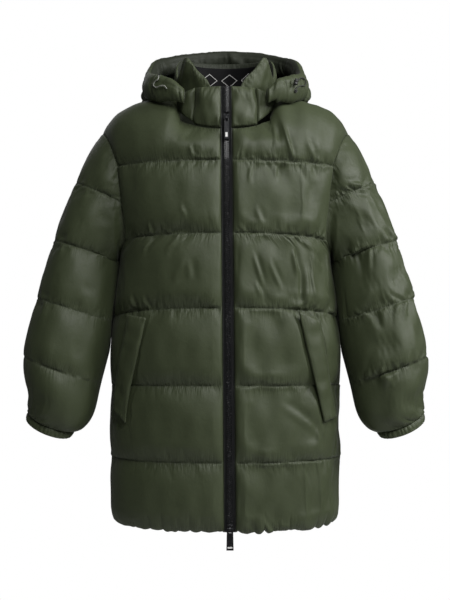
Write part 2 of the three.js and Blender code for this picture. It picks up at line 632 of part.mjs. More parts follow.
const RIM_SIDES = 10;
function rimRings() {
  const half = RIM.map((row) => vec(row.x, row.y, row.z));
  const path = [...half, ...[...half.slice(0, -1)].reverse().map((p) => vec(-p.x, p.y, p.z))];
  const curve = new THREE.CatmullRomCurve3(path, false, 'centripetal');
  const count = (path.length - 1) * 2;
  return steps(count).map((t) => {
    const at = Math.min(t, 1 - t) * (path.length - 1);
    const [low, high] = [RIM[Math.floor(at)], RIM[Math.min(Math.floor(at) + 1, RIM.length - 1)]];
    const [tall, thick] = ['tall', 'thick'].map((name) => mix(low[name], high[name], at % 1) / 2);
    const middle = curve.getPoint(t);
    const across = curve.getTangent(t).cross(vec(0, 0, 1)).normalize();
    return Array.from({ length: RIM_SIDES }, (_, j) => {
      const a = (j / RIM_SIDES) * 2 * Math.PI;
      return middle.clone().addScaledVector(across, thick * Math.cos(a)).add(vec(0, 0, tall * Math.sin(a)));
    });
  });
}
addMesh('hood_rim', filledTube(rimRings()), SHELL());

// ---- zip ----
const collarFront = (v) => {
  return vec(0, NECK.midY - NECK.depth * mix(0.93, 1, v), mix(COLLAR_TOP, NECK_LINE[0].z, v));
};
const zipLine = [...[0, 0.5, 0.95].map(collarFront), ...frontRight.rows.map((row) => row[0])];
const zipStrip = (from, to) => zipLine.map((p) => [from, to].map((x) => vec(lean(p.z) + x, p.y, p.z)));
const frontward = () => vec(0, -1, 0);
const strip = (grid, seam) => wall(grid, { hint: frontward, inside: 1, seam });
addMesh('zip_tape_right', strip(zipStrip(-ZIP.tape, -GAP / 2), ZIP.thick / 2), BLACK());
addMesh('zip_tape_left', strip(zipStrip(GAP / 2, ZIP.tape), ZIP.thick / 2), BLACK());
const chainOut = ZIP.thick / 2 + GAP + ZIP.chainThick / 2;
const chainGrid = zipStrip(-ZIP.chain, ZIP.chain).map((row, r, all) => {
  const [before, after] = [all[Math.max(r - 1, 0)][0], all[Math.min(r + 1, all.length - 1)][0]];
  const out = vec(0, before.z - after.z, after.y - before.y).normalize().negate();
  return row.map((p) => p.clone().addScaledVector(out, chainOut));
});
addMesh('zip_chain', strip(chainGrid, ZIP.chainThick / 2), BLACK());

// ---- pocket welts ----
// A point on the front of the body at a place seen from the front, moved out from its seams.
function frontSurface(x, z, out) {
  const turn = turnAtWidth(Math.abs(x), z);
  const p = bodyPoint(turn, z);
  const power = SQUARENESS - 1;
  const [half, depth] = [along(BODY, 'z', z, 'half'), along(BODY, 'z', z, 'front')];
  const slope = vec((Math.abs(p.x) / half) ** power / half, -((Math.abs(p.y) / depth) ** power) / depth, 0);
  slope.x *= -1;
  p.addScaledVector(slope.normalize(), out);
  return vec(x < 0 ? p.x : -p.x, p.y, p.z);
}

for (const [side, table] of Object.entries(WELTS)) {
  const rows = table.map((row, i) => ({ ...row, i }));
  const grid = steps(WELT.rows).map((v) => steps(3).map((u) => {
    const at = v * (rows.length - 1);
    const [x, z] = ['X', 'Z'].map((c) => {
      return mix(along(rows, 'i', at, `inner${c}`), along(rows, 'i', at, `outer${c}`), u);
    });
    const turn = turnAtWidth(Math.abs(x), z);
    return frontSurface(x, z, sidePuff(turn / 90) + WELT.stand);
  }));
  const rise = (r, c) => (c === 0 || c === 3 || r === 0 || r === WELT.rows ? 0 : WELT.crown);
  const welt = wall(grid, { hint: outwards, puff: rise, inside: PUFF.weltInside });
  addMesh(`pocket_welt_${side}`, welt, SHELL());
}

// ---- drawcords of the hood ----
for (const [name, route] of Object.entries(DRAWCORDS)) {
  const path = new THREE.CatmullRomCurve3(route.map((p) => vec(...p)), false, 'centripetal');
  const section = new THREE.Shape();
  section.setFromPoints(steps(CORD.sides).slice(1).map((t) => {
    const a = t * 2 * Math.PI;
    return new THREE.Vector2(CORD.radius * Math.cos(a), CORD.radius * Math.sin(a));
  }));
  const count = Math.round(path.getLength() / (CORD.radius * 5));
  addMesh(name, new THREE.ExtrudeGeometry(section, { steps: count, extrudePath: path }), CORDING());
}
const barrel = [[0, -6.5], [3.4, -6.5], [4.4, -5], [4.4, 5], [3.4, 6.5], [0, 6.5]];
const barrelLine = barrel.map(([r, h]) => new THREE.Vector2(r, h));
const lock = addMesh('cord_lock', new THREE.LatheGeometry(barrelLine, 12), BLACK());
lock.position.set(LOCK.x, LOCK.y, LOCK.z);
lock.rotation.set(0, radians(LOCK.turn), 0);

// ---- zip sliders and their pulls ----
const faceFront = new THREE.Matrix4().makeBasis(vec(1, 0, 0), vec(0, 0, 1), vec(0, -1, 0));
const faceSide = new THREE.Matrix4().makeBasis(vec(0, -1, 0), vec(0, 0, 1), vec(-1, 0, 0));

function roundedPlate(width, top, bottom, corner) {
  const [w, r] = [width / 2, corner];
  const shape = new THREE.Shape();
  shape.moveTo(-w + r, bottom).lineTo(w - r, bottom);
  shape.absarc(w - r, bottom + r, r, -Math.PI / 2, 0);
  shape.lineTo(w, top - r).absarc(w - r, top - r, r, 0, Math.PI / 2);
  shape.lineTo(-w + r, top).absarc(-w + r, top - r, r, Math.PI / 2, Math.PI);
  shape.lineTo(-w, bottom + r).absarc(-w + r, bottom + r, r, Math.PI, 1.5 * Math.PI);
  return shape;
}

function extruded(shape, depth, frame) {
  const geometry = new THREE.ExtrudeGeometry(shape, { depth, bevelEnabled: false, curveSegments: 4 });
  geometry.translate(0, 0, -depth / 2);
  return geometry.applyMatrix4(frame);
}

for (const pull of PULLS) {
  const body = extruded(roundedPlate(SLIDER.width, SLIDER.tall / 2, -SLIDER.tall / 2, SLIDER.corner),
    SLIDER.thick, faceFront);
  const slider = addMesh(`zip_slider_${pull.name}`, body, METAL());
  slider.position.set(pull.x, pull.face - SLIDER.thick / 2, pull.z);

  const axisY = pull.face - SLIDER.thick - SLIDER.axisOut;
  const foot = -(SLIDER.axisOut - GAP);
  const arch = new THREE.Shape();
  arch.moveTo(foot, -SLIDER.bailOuter).lineTo(0, -SLIDER.bailOuter);
  arch.absarc(0, 0, SLIDER.bailOuter, -Math.PI / 2, Math.PI / 2);
  arch.lineTo(foot, SLIDER.bailOuter).lineTo(foot, SLIDER.bailInner).lineTo(0, SLIDER.bailInner);
  arch.absarc(0, 0, SLIDER.bailInner, Math.PI / 2, -Math.PI / 2, true);
  arch.lineTo(foot, -SLIDER.bailInner);
  const bail = addMesh(`zip_bail_${pull.name}`, extruded(arch, SLIDER.bailWidth, faceSide), METAL());
  bail.position.set(pull.x, axisY, pull.z);

  const outline = roundedPlate(pull.width, PULL.bar, PULL.bar - pull.length, PULL.corner);
  const slot = new THREE.Path();
  const [left, low] = [PULL.slotWidth / 2, -PULL.bar - PULL.slot];
  slot.moveTo(-left, -PULL.bar).lineTo(-left, low).lineTo(left, low).lineTo(left, -PULL.bar);
  outline.holes.push(slot);
  const plate = addMesh(`zip_pull_${pull.name}`, extruded(outline, PULL.thick, faceFront), METAL());
  plate.position.set(pull.x, axisY, pull.z);
  plate.rotation.x = -radians(pull.lean);
}

export default coat;
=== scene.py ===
"""A hooded, quilted puffer coat: its cloth, padding, zip, cords and the studio round it.

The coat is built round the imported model, in metres and in that model's own frame: +X is the
wearer's left, -Y the front and +Z up, with the origin between the shoulders.
"""

import logging
import math
from dataclasses import dataclass
from enum import Enum

import bmesh
import bpy
import numpy as np
from mathutils import Matrix, Vector


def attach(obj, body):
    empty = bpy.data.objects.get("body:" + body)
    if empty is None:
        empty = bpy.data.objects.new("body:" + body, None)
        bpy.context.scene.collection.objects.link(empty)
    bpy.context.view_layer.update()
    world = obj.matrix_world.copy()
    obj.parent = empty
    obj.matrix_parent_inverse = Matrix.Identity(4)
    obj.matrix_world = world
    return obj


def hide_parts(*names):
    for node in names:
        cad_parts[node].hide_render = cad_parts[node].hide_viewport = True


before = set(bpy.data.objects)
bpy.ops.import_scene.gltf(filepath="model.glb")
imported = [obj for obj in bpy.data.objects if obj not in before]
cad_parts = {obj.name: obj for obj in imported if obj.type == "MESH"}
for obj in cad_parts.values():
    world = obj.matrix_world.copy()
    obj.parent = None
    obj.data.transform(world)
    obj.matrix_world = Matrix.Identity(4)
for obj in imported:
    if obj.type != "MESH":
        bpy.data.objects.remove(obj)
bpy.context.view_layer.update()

LOG = logging.getLogger("coat")
Array = np.ndarray
Piece = bpy.types.Object
Material = bpy.types.Material
Shape = bmesh.types.BMesh
Socket = bpy.types.NodeSocket
NodeTree = bpy.types.NodeTree
TURN = 2 * math.pi
ACROSS = np.array([1.0, 0.0, 0.0])
STITCH_PROUD = 0.0002  # how far stitches stand off the cloth
FLAT = 1e-6  # less than this is nothing
CLEAR = 0.0003  # the least room between two pieces
SEAM_HALF = 0.0012  # half the thickness of the cloth where its layers are quilted together


# ---- small tools


def side_word(side: int) -> str:
    """The wearer's side, which is -1 on the right and 1 on the left."""
    return "right" if side < 0 else "left"


def mix(a: Array | float, b: Array | float, t: Array | float) -> Array | float:
    """The value a share t of the way from a to b."""
    return a + (b - a) * t


def unit(vectors: Array) -> Array:
    """The vectors scaled to a length of one."""
    return vectors / np.maximum(np.linalg.norm(vectors, axis=-1, keepdims=True), 1e-12)


def quarter_round(distance: Array, reach: float) -> Array:
    """A quarter circle's height, from 0 on an edge to 1 at its reach."""
    share = np.clip(distance / reach, 0, 1)
    return np.sqrt(1 - (1 - share) ** 2)


def domed(share: Array, steepness: float) -> Array:
    """A rise from 0 at both ends of a 0 to 1 share to 1 between them."""
    return quarter_round(np.minimum(share, 1 - share) * steepness, 1)


def ease(share: Array) -> Array:
    """A smooth step from 0 to 1."""
    share = np.clip(share, 0, 1)
    return share * share * (3 - 2 * share)


def read_table(rows: Array | tuple, at: Array) -> Array:
    """Reads smooth values between the rows of a table.

    Args:
        rows: the table, its first column ascending.
        at: where to read it, in the units of the first column.

    Returns:
        The other columns at each place.
    """
    keys, *columns = np.array(rows, dtype=float).T
    values = np.stack(columns, -1)
    last = len(keys) - 1
    order = np.arange(last + 1)
    ahead, behind = np.minimum(order + 1, last), np.maximum(order - 1, 0)
    slopes = (values[ahead] - values[behind]) / (keys[ahead] - keys[behind])[:, None]
    i = np.clip(np.searchsorted(keys, at, side="right") - 1, 0, last - 1)
    run = (keys[i + 1] - keys[i])[..., None]
    t = np.clip((np.asarray(at)[..., None] - keys[i][..., None]) / run, 0, 1)
    t2, t3 = t * t, t * t * t
    start = (2 * t3 - 3 * t2 + 1) * values[i] + (t3 - 2 * t2 + t) * run * slopes[i]
    end = (3 * t2 - 2 * t3) * values[i + 1] + (t3 - t2) * run * slopes[i + 1]
    return start + end


def bezier(start: Array, bend: Array, end: Array, t: Array) -> Array:
    """Points on a quadratic curve."""
    t = t[..., None]
    return (1 - t) ** 2 * start + 2 * t * (1 - t) * bend + t * t * end


def grid_normals(points: Array) -> Array:
    """Unit normals of a grid of points.

    Args:
        points: rows by columns by 3.

    Returns:
        The cross product of the directions along a row and down a column, of length one.
    """
    return unit(np.cross(np.gradient(points, axis=1), np.gradient(points, axis=0)))


def distances(points: Array) -> Array:
    """Distances along a curve, or down each column of a grid."""
    steps = np.linalg.norm(np.diff(points, axis=0), axis=-1)
    return np.concatenate([np.zeros((1, *steps.shape[1:])), np.cumsum(steps, axis=0)])


def point_at(curve: Array, run: Array, at: float) -> Array:
    """The point of a curve at a distance along it."""
    return np.array([np.interp(at, run, column) for column in curve.T])


def facing(normals: Array, away: Array) -> Array:
    """Normals turned so that they agree, on the whole, with a direction at each point."""
    return normals if float((normals * away).sum()) > 0 else -normals


def even_shares(curve: Array, count: int) -> Array:
    """Shares of a curve's parameter that cut it into steps of equal length.

    Args:
        curve: points at evenly spaced parameters from 0 to 1.
        count: how many shares, both ends included.
    """
    run = distances(curve)
    return np.interp(np.linspace(0, run[-1], count), run, np.linspace(0, 1, len(curve)))


# ---- the body's surface


@dataclass(frozen=True)
class BodyForm:
    """The surface that the body's panels follow, without the height of their baffles.

    Angles go from 0 in the middle of the front to 180 in the middle of the back. A panel's marks
    count its quilting lines, from 0 at the neck and shoulder, through 1 at the yoke line, to 6 at
    the hem.
    """

    squareness: float = 2.4
    sections: tuple = (  # height, half width, front depth, back depth
        (-0.861, 0.224, 0.138, 0.138),
        (-0.726, 0.226, 0.148, 0.146),
        (-0.576, 0.226, 0.150, 0.145),
        (-0.502, 0.227, 0.150, 0.143),
        (-0.438, 0.223, 0.148, 0.141),
        (-0.380, 0.215, 0.147, 0.141),
        (-0.315, 0.208, 0.146, 0.142),
        (-0.285, 0.212, 0.145, 0.142),
        (-0.215, 0.225, 0.142, 0.140),
        (-0.131, 0.240, 0.135, 0.134),
    )
    quilts: tuple = (  # heights in front, at the side and behind
        (-0.131, -0.139, -0.138),
        (-0.276, -0.288, -0.284),
        (-0.424, -0.438, -0.430),
        (-0.576, -0.574, -0.576),
        (-0.726, -0.718, -0.722),
        (-0.861, -0.842, -0.850),
    )
    armhole: tuple = ((-0.315, 90.0), (-0.288, 70.0), (-0.215, 64.0), (-0.139, 62.0))
    neck_half: float = 0.102
    neck_middle: float = -0.020
    neck_depth: float = 0.098
    neck_side: float = 97.0
    neck_line: tuple = (  # angle, height
        (0.0, -0.067), (20.0, -0.064), (43.0, -0.054), (68.0, -0.037), (85.0, -0.010),
        (100.0, 0.012), (120.0, 0.026), (150.0, 0.038), (180.0, 0.042),
    )
    shoulder_tip: tuple = (-0.253, 0.005, -0.059)
    shoulder_crown: tuple = (0.84, 0.60, -0.004)  # shares of the way across and back, and the drop
    front_neck_share: float = 0.42
    back_neck_share: float = 0.40
    tape_half: float = 0.0118
    zip_lean: tuple = (0.001, 0.0088)  # the zip's sideways place at the collar's top and at the hem
    zip_span: tuple = (0.011, -0.861)

    def lean(self, z: Array) -> Array:
        """How far the zip lies to +X at a height."""
        share = (z - self.zip_span[1]) / (self.zip_span[0] - self.zip_span[1])
        return mix(self.zip_lean[1], self.zip_lean[0], share)

    def section(self, z: Array) -> Array:
        """The body's half width, front depth and back depth at a height."""
        return np.moveaxis(read_table(self.sections, z), -1, 0)

    def point(self, turn: Array, z: Array) -> Array:
        """Points on the wearer's right half of the body, at angles and heights."""
        half, front, back = self.section(z)
        angle, arc = np.radians(turn), 2 / self.squareness
        depth = np.where(turn <= 90, -front, back)
        across = -half * np.abs(np.sin(angle)) ** arc
        return np.stack([across, depth * np.abs(np.cos(angle)) ** arc, z + 0 * across], -1)

    def turn_at_width(self, x: Array, z: Array) -> Array:
        """The angle at which the front is x away from the middle."""
        half, _, _ = self.section(z)
        return np.degrees(np.arcsin(np.clip(x / half, 0, 1) ** (self.squareness / 2)))

    def room_beside(self, points: Array, puff: float) -> Array:
        """The room between points of a sleeve and the side of the padded body."""
        half, front, back = self.section(points[..., 2])
        depth = np.where(points[..., 1] < 0, front, back)
        flat = 1 - np.minimum(np.abs(points[..., 1]) / depth, 1) ** self.squareness
        return -points[..., 0] - half * flat ** (1 / self.squareness) - puff - 2 * SEAM_HALF

    def quilt_height(self, line: Array, turn: Array) -> Array:
        """Heights of the quilting lines at angles round the body."""
        front, side, back = np.moveaxis(np.array(self.quilts)[line], -1, 0)
        c = np.cos(np.radians(turn))
        return np.where(c >= 0, mix(side, front, c), mix(side, back, -c))

    def neck_point(self, turn: Array) -> Array:
        """Points on the neck seam."""
        angle = np.radians(turn)
        z = read_table(self.neck_line, turn)[..., 0]
        across = -self.neck_half * np.sin(angle)
        return np.stack([across, self.neck_middle - self.neck_depth * np.cos(angle), z], -1)

    def shoulder_point(self, t: Array) -> Array:
        """Points on the shoulder seam, from the neck (0) to the armhole (1)."""
        neck = self.neck_point(np.array(self.neck_side))
        tip = np.array(self.shoulder_tip)
        far, back, drop = self.shoulder_crown
        crown = np.array([mix(neck[0], tip[0], far), mix(neck[1], tip[1], back), neck[2] + drop])
        return bezier(neck, crown, tip, t)

    def panel(self, is_back: bool, u: Array, mark: Array, zip_side: int = -1) -> Array:
        """Points of one half of a panel on the wearer's right.

        Args:
            is_back: whether it is the back or a front.
            u: shares of the way from the middle of the panel to its side.
            mark: the quilting marks, from 0 at the top to 6 at the hem.
            zip_side: 1 where the zip leans away from this panel and -1 where it leans into it.
        """
        lower = self._lower(is_back, u, np.maximum(mark - 1, 0), zip_side)
        top = self._top(is_back, u, zip_side)
        round_share = np.minimum(u / self.front_neck_share, 1)
        bend = np.stack([
            mix(lower[..., 0], top[..., 0], 0.5),
            mix(lower[..., 1], top[..., 1], mix(0.38, 0.1, round_share)),
            mix(lower[..., 2], top[..., 2], mix(0.5, 0.86, round_share)),
        ], -1)
        yoke = bezier(top, bend, lower, np.clip(mark, 0, 1))
        return np.where((mark < 1)[..., None], yoke, lower)

    def _lower(self, is_back: bool, u: Array, down: Array, zip_side: int) -> Array:
        """Points of a panel below its yoke line, by baffles down from it."""
        line = np.minimum(down.astype(int), len(self.quilts) - 2)
        t = down - line
        side_z = mix(self.quilt_height(line, 90.0), self.quilt_height(line + 1, 90.0), t)
        side = np.where(side_z <= self.armhole[0][0], 90, read_table(self.armhole, side_z)[..., 0])
        side = np.minimum(side, 89.99)
        if is_back:
            turn = mix(180.0, 180 - side, u)
        else:
            front_z = mix(np.array(self.quilts)[line, 0], np.array(self.quilts)[line + 1, 0], t)
            width = np.maximum(self.tape_half + zip_side * self.lean(front_z), 0.001)
            turn = mix(self.turn_at_width(width, front_z), side, u)
        z = mix(self.quilt_height(line, turn), self.quilt_height(line + 1, turn), t)
        return self.point(turn, z)

    def _top(self, is_back: bool, u: Array, zip_side: int) -> Array:
        """Points of a panel's top edge, along the neck seam and then the shoulder seam."""
        share = self.back_neck_share if is_back else self.front_neck_share
        neck_front = self.neck_line[0][1]
        width = self.tape_half + CLEAR + zip_side * self.lean(np.array(neck_front))
        first = 180.0 if is_back else np.degrees(np.arcsin(width / self.neck_half))
        neck = self.neck_point(mix(first, self.neck_side, np.minimum(u / share, 1)))
        shoulder = self.shoulder_point(np.clip((u - share) / (1 - share), 0, 1))
        return np.where((u > share)[..., None], shoulder, neck)


# ---- gathers, folds and padding


def noise_line(at: Array, seed: int) -> Array:
    """Smooth noise along a line, between -1 and 1, that changes once in every unit."""
    values = np.random.default_rng(seed).uniform(-1, 1, 4096)
    low = np.floor(at).astype(int)
    return mix(values[low % 4096], values[(low + 1) % 4096], ease(at - low))


@dataclass(frozen=True)
class Puckers:
    """Creases that run away from a stitched line where its thread has drawn the cloth up.

    Spots are places seen from the front where the cloth is drawn up more: x, z, radius and strength.
    """

    depth: float = 0.0046
    spacing: float = 0.0085
    reach: float = 0.020
    everywhere: float = 0.42
    lines: tuple[float, ...] = (0.3, 1.0, 1.0, 1.0, 0.6, 0.6, 0.8)
    spots: tuple[tuple[float, float, float, float], ...] = ()
    seed: int = 1

    def strength(self, points: Array) -> Array:
        """The share of the full depth at each place."""
        total = np.full(points.shape[:-1], self.everywhere)
        for x, z, radius, extra in self.spots:
            far = (points[..., 0] - x) ** 2 + (points[..., 2] - z) ** 2
            total += extra * np.exp(-far / radius**2)
        return np.minimum(total, 1.8)

    def one_side(self, along: Array, far: Array, key: int) -> Array:
        """The creases on one side of one line."""
        total = np.zeros_like(along)
        for scale, share in ((0.7, 0.7), (1.5, 0.9), (3.0, 0.8)):
            spacing = self.spacing * scale
            swing = 0.9 * noise_line(along / (4 * spacing), key + 1) * far / spacing
            wave = noise_line(along / spacing + swing, key + 2)
            ridge = 1 - 3.2 * np.abs(noise_line(along / (1.4 * spacing) + swing, key + 3))
            reach = self.reach * scale * (0.95 + 0.8 * noise_line(along / (1.8 * spacing), key + 4))
            fade = np.clip(1 - far / np.maximum(reach, 0.004), 0, 1) ** 1.4
            total += share * fade * (0.35 * wave - 0.65 * np.maximum(ridge, -0.5))
        return total

    def height(self, along: Array, run: Array, rows: Array, points: Array) -> Array:
        """How far the creases move the cloth.

        Args:
            along: distances along the rows.
            run: distances down the columns.
            rows: the numbers of the rows that are stitched down.
            points: the cloth itself.
        """
        total = np.zeros_like(along)
        nearest = np.full_like(along, 1.0)
        for number, row in enumerate(rows):
            away = run - run[row]
            nearest = np.minimum(nearest, np.abs(away))
            for side in (-1, 1):
                key = 1000 * self.seed + 40 * number + 10 * side
                creases = self.one_side(along, np.abs(away), key)
                total += np.where(away * side > 0, creases, 0) * self.lines[number % len(self.lines)]
        return self.depth * total * self.strength(points) * ease(nearest / 0.0025)


@dataclass(frozen=True)
class Fold:
    """A crease seen from the front: its two ends, half width and depth, negative for a trough."""

    x0: float
    z0: float
    x1: float
    z1: float
    width: float = 0.0042
    depth: float = 0.0032
    bow: float = 0.0

    def height(self, points: Array) -> Array:
        """How far the fold moves the cloth at each point."""
        start, end = np.array([self.x0, self.z0]), np.array([self.x1, self.z1])
        run = end - start
        length = float(np.linalg.norm(run))
        run = run / length
        local = points[..., [0, 2]] - start
        t = np.clip((local @ run) / length, -0.2, 1.2)
        across = local @ np.array([-run[1], run[0]]) - self.bow * 4 * t * (1 - t)
        shape = np.exp(-((across / self.width) ** 2))
        shape -= 0.75 * np.exp(-(((across - 1.5 * self.width) / (1.3 * self.width)) ** 2))
        along = ease(np.clip(np.minimum(t, 1 - t) * 3.0, 0, 1))
        return self.depth * shape * along


@dataclass(frozen=True)
class Relief:
    """The small shapes of one piece's cloth: its puckers, its folds and its soft unevenness."""

    puckers: Puckers = Puckers()
    folds: tuple[Fold, ...] = ()
    waves: float = 0.0008
    wave_length: float = 0.060
    seed: int = 3

    def soft_waves(self, points: Array) -> Array:
        """Broad, shallow unevenness, as of down that has shifted."""
        rng = np.random.default_rng(self.seed)
        total = np.zeros(points.shape[:-1])
        for _ in range(9):
            turns = TURN / (self.wave_length * rng.uniform(0.6, 1.8))
            total += np.sin(points @ (unit(rng.normal(size=3)) * turns) + rng.uniform(0, 6.28))
        return self.waves * total / 3

    def height(self, along: Array, run: Array, rows: Array, points: Array) -> Array:
        """Everything together, for a grid of points with its stitched rows."""
        total = self.puckers.height(along, run, rows, points) + self.soft_waves(points)
        for fold in self.folds:
            total += fold.height(points) * (points[..., 1] < 0)
        return total


def kept_lines(held: Array, stride: int) -> Array:
    """Every so many of a grid's lines, with its last one and every one that is held."""
    number = np.arange(len(held))
    return number[(number % stride == 0) | held | (number == len(held) - 1)]


def spread_lines(values: Array, kept: Array, count: int) -> Array:
    """Fills in the lines between those that were kept."""
    at = np.interp(np.arange(count), kept, np.arange(len(kept)))
    low = np.minimum(at.astype(int), len(kept) - 2)
    share = (at - low).reshape((-1,) + (1,) * (values.ndim - 1))
    return mix(values[low], values[low + 1], share)


@dataclass(frozen=True)
class Inflation:
    """How a padded skin is blown up between its stitched lines."""

    pressure: float = 3.0
    slack: float = 0.008
    stiffness: float = 20.0
    bending: float = 0.25
    frames: int = 16
    limit: float = 0.006

    def run(self, name: str, points: Array, held: Array) -> Array:
        """Simulates a skin with its stitched points held still.

        Args:
            name: what the skin is called while it is simulated.
            points: rows by columns by 3.
            held: which of them are stitched down.

        Returns:
            The points after it, none of them further from its start than the limit.
        """
        rows = kept_lines(held.all(axis=1), 2)
        cols = kept_lines(held.all(axis=0), 2)
        net = points[np.ix_(rows, cols)]
        skin = grid_object(name, net)
        group = skin.vertex_groups.new(name="held")
        group.add([int(i) for i in np.flatnonzero(held[np.ix_(rows, cols)].ravel())], 1.0, "REPLACE")
        cloth = skin.modifiers.new("Cloth", "CLOTH")
        settings = cloth.settings
        for setting, value in {
            "quality": 5, "mass": 0.12, "tension_stiffness": self.stiffness,
            "compression_stiffness": self.stiffness, "shear_stiffness": self.stiffness * 0.4,
            "bending_stiffness": self.bending, "air_damping": 2.0, "use_pressure": True,
            "uniform_pressure_force": self.pressure, "shrink_min": -self.slack, "vertex_group_mass": "held",
        }.items():
            setattr(settings, setting, value)
        settings.effector_weights.gravity = 0
        cloth.collision_settings.use_collision = False
        cloth.point_cache.frame_end = self.frames
        scene = bpy.context.scene
        for number in range(1, self.frames + 1):
            scene.frame_set(number)
        blown = skin.evaluated_get(bpy.context.evaluated_depsgraph_get()).data
        moved = np.empty(net.size)
        blown.vertices.foreach_get("co", moved)
        bpy.data.objects.remove(skin)
        scene.frame_set(1)
        step = spread_lines(moved.reshape(net.shape) - net, rows, points.shape[0])
        step = np.swapaxes(spread_lines(np.swapaxes(step, 0, 1), cols, points.shape[1]), 0, 1)
        length = np.linalg.norm(step, axis=-1, keepdims=True)
        soft = self.limit * np.tanh(length / self.limit)
        return points + step * soft / np.maximum(length, 1e-9)


# ---- meshes


def grid_object(name: str, points: Array) -> Piece:
    """An open sheet through rows and columns of points."""
    rows, cols = points.shape[:2]
    shape = bmesh.new()
    bmesh.ops.create_grid(shape, x_segments=cols - 1, y_segments=rows - 1, size=0.5)
    mesh = bpy.data.meshes.new(name)
    shape.to_mesh(mesh)
    shape.free()
    mesh.vertices.foreach_set("co", points.astype(np.float32).ravel())
    mesh.update()
    made = bpy.data.objects.new(name, mesh)
    bpy.context.scene.collection.objects.link(made)
    return made


def wall_object(
    name: str,
    outer: Array,
    inner: Array,
    metres: tuple[float, float],
    worn: Array | None = None,
    closed: bool = False,
) -> Piece:
    """A closed wall of cloth between two skins. Its inner skin takes the second material.

    Args:
        name: the piece's name.
        outer: the outer skin's points, rows by columns by 3.
        inner: the inner skin's, of the same shape.
        metres: the cloth's size along a row and down a column, for its weave.
        worn: how much each point is rubbed, from 0 to 1.
        closed: whether the last column meets the first, as round a sleeve.
    """
    rows, cols = outer.shape[:2]
    shape = bmesh.new()
    cloth = shape.loops.layers.uv.new("Cloth")
    row_of = shape.verts.layers.int.new("row")
    rubbed = shape.verts.layers.float.new("seam")
    for _ in (outer, inner):
        bmesh.ops.create_grid(shape, x_segments=cols - 1, y_segments=rows - 1, size=0.5)
    shape.verts.ensure_lookup_table()
    points = np.concatenate([outer.reshape(-1, 3), inner.reshape(-1, 3)])
    marks = np.zeros(rows * cols) if worn is None else worn.ravel()
    skin_size = rows * cols
    for number, vert in enumerate(shape.verts):
        vert.co = points[number]
        vert[row_of] = (number % skin_size) // cols
        vert[rubbed] = marks[number % skin_size]
    for face in shape.faces:
        face.material_index = int(face.verts[0].index >= skin_size)
        for corner in face.loops:
            row, col = divmod(corner.vert.index % skin_size, cols)
            corner[cloth].uv = (metres[0] * col / (cols - 1), metres[1] * row / (rows - 1))
    if closed:
        bmesh.ops.remove_doubles(shape, verts=shape.verts[:], dist=1e-5)
    open_edges = [e for e in shape.edges if e.is_boundary]
    ends = [[e for e in open_edges if all(v[row_of] == end for v in e.verts)] for end in (0, rows - 1)]
    for rim in ends if closed else [open_edges]:
        for face in bmesh.ops.bridge_loops(shape, edges=rim)["faces"]:
            face.material_index = 0
    bmesh.ops.recalc_face_normals(shape, faces=shape.faces[:])
    return finish_mesh(name, shape)


def add_wall(shape: Shape, face: Array, back: Array) -> None:
    """Adds a plain closed wall between two small grids of points to a mesh."""
    rows, cols = face.shape[:2]
    edges: list[bmesh.types.BMEdge] = []
    for skin in (face, back):
        made = bmesh.ops.create_grid(shape, x_segments=cols - 1, y_segments=rows - 1, size=0.5)
        for vert, point in zip(made["verts"], skin.reshape(-1, 3)):
            vert.co = point
        edges += dict.fromkeys(e for v in made["verts"] for e in v.link_edges if e.is_boundary)
    bmesh.ops.bridge_loops(shape, edges=edges)


def turn_to(direction: Array | tuple, axis: str, up: str) -> Matrix:
    """The turn that points an axis along a direction."""
    return Vector(direction).to_track_quat(axis, up).to_matrix().to_4x4()


def add_box(shape: Shape, middle: tuple, size: tuple) -> list[bmesh.types.BMVert]:
    """Adds a block to a mesh, and returns its corners."""
    place = Matrix.Translation(middle) @ Matrix.Diagonal((*size, 1))
    return bmesh.ops.create_cube(shape, size=1, matrix=place)["verts"]


def bevel_edges(shape: Shape, edges: list, offset: float, segments: int = 1) -> None:
    """Bevels some edges of a mesh."""
    bmesh.ops.bevel(
        shape, geom=edges, offset=offset, segments=segments, profile=0.5, affect="EDGES", material=-1
    )


def sharp_edges(shape: Shape, angle: float) -> list[bmesh.types.BMEdge]:
    """The edges of a mesh that turn by more than an angle."""
    return [e for e in shape.edges if len(e.link_faces) == 2 and e.calc_face_angle(0) > angle]


def spun_object(name: str, shape: Shape, section: list, steps: int, place: Matrix) -> Piece:
    """Spins a section right round Z and puts what it makes in its place."""
    bmesh.ops.spin(
        shape, geom=section, cent=(0, 0, 0), axis=(0, 0, 1), angle=TURN, steps=steps, use_merge=True
    )
    bmesh.ops.remove_doubles(shape, verts=shape.verts[:], dist=FLAT)
    bmesh.ops.recalc_face_normals(shape, faces=shape.faces[:])
    bmesh.ops.transform(shape, matrix=place, verts=shape.verts[:])
    return finish_mesh(name, shape)


def tube_object(name: str, rings: Array, metres: tuple[float, float]) -> Piece:
    """A closed tube through rings of points.

    Args:
        name: the piece's name.
        rings: rings by points round each by 3, the first point not repeated.
        metres: the tube's length and girth, for its weave.
    """
    count, sides = rings.shape[:2]
    points = np.concatenate([rings, rings[:, :1]], axis=1).reshape(-1, 3)
    shape = bmesh.new()
    cloth = shape.loops.layers.uv.new("Cloth")
    shape.verts.layers.float.new("seam")
    bmesh.ops.create_grid(shape, x_segments=sides, y_segments=count - 1, size=0.5)
    shape.verts.ensure_lookup_table()
    for number, vert in enumerate(shape.verts):
        vert.co = points[number]
    for face in shape.faces:
        for corner in face.loops:
            row, col = divmod(corner.vert.index, sides + 1)
            corner[cloth].uv = (metres[0] * row / (count - 1), metres[1] * col / sides)
    bmesh.ops.remove_doubles(shape, verts=shape.verts[:], dist=FLAT)
    bmesh.ops.holes_fill(shape, edges=[e for e in shape.edges if e.is_boundary], sides=0)
    bmesh.ops.recalc_face_normals(shape, faces=shape.faces[:])
    return finish_mesh(name, shape)


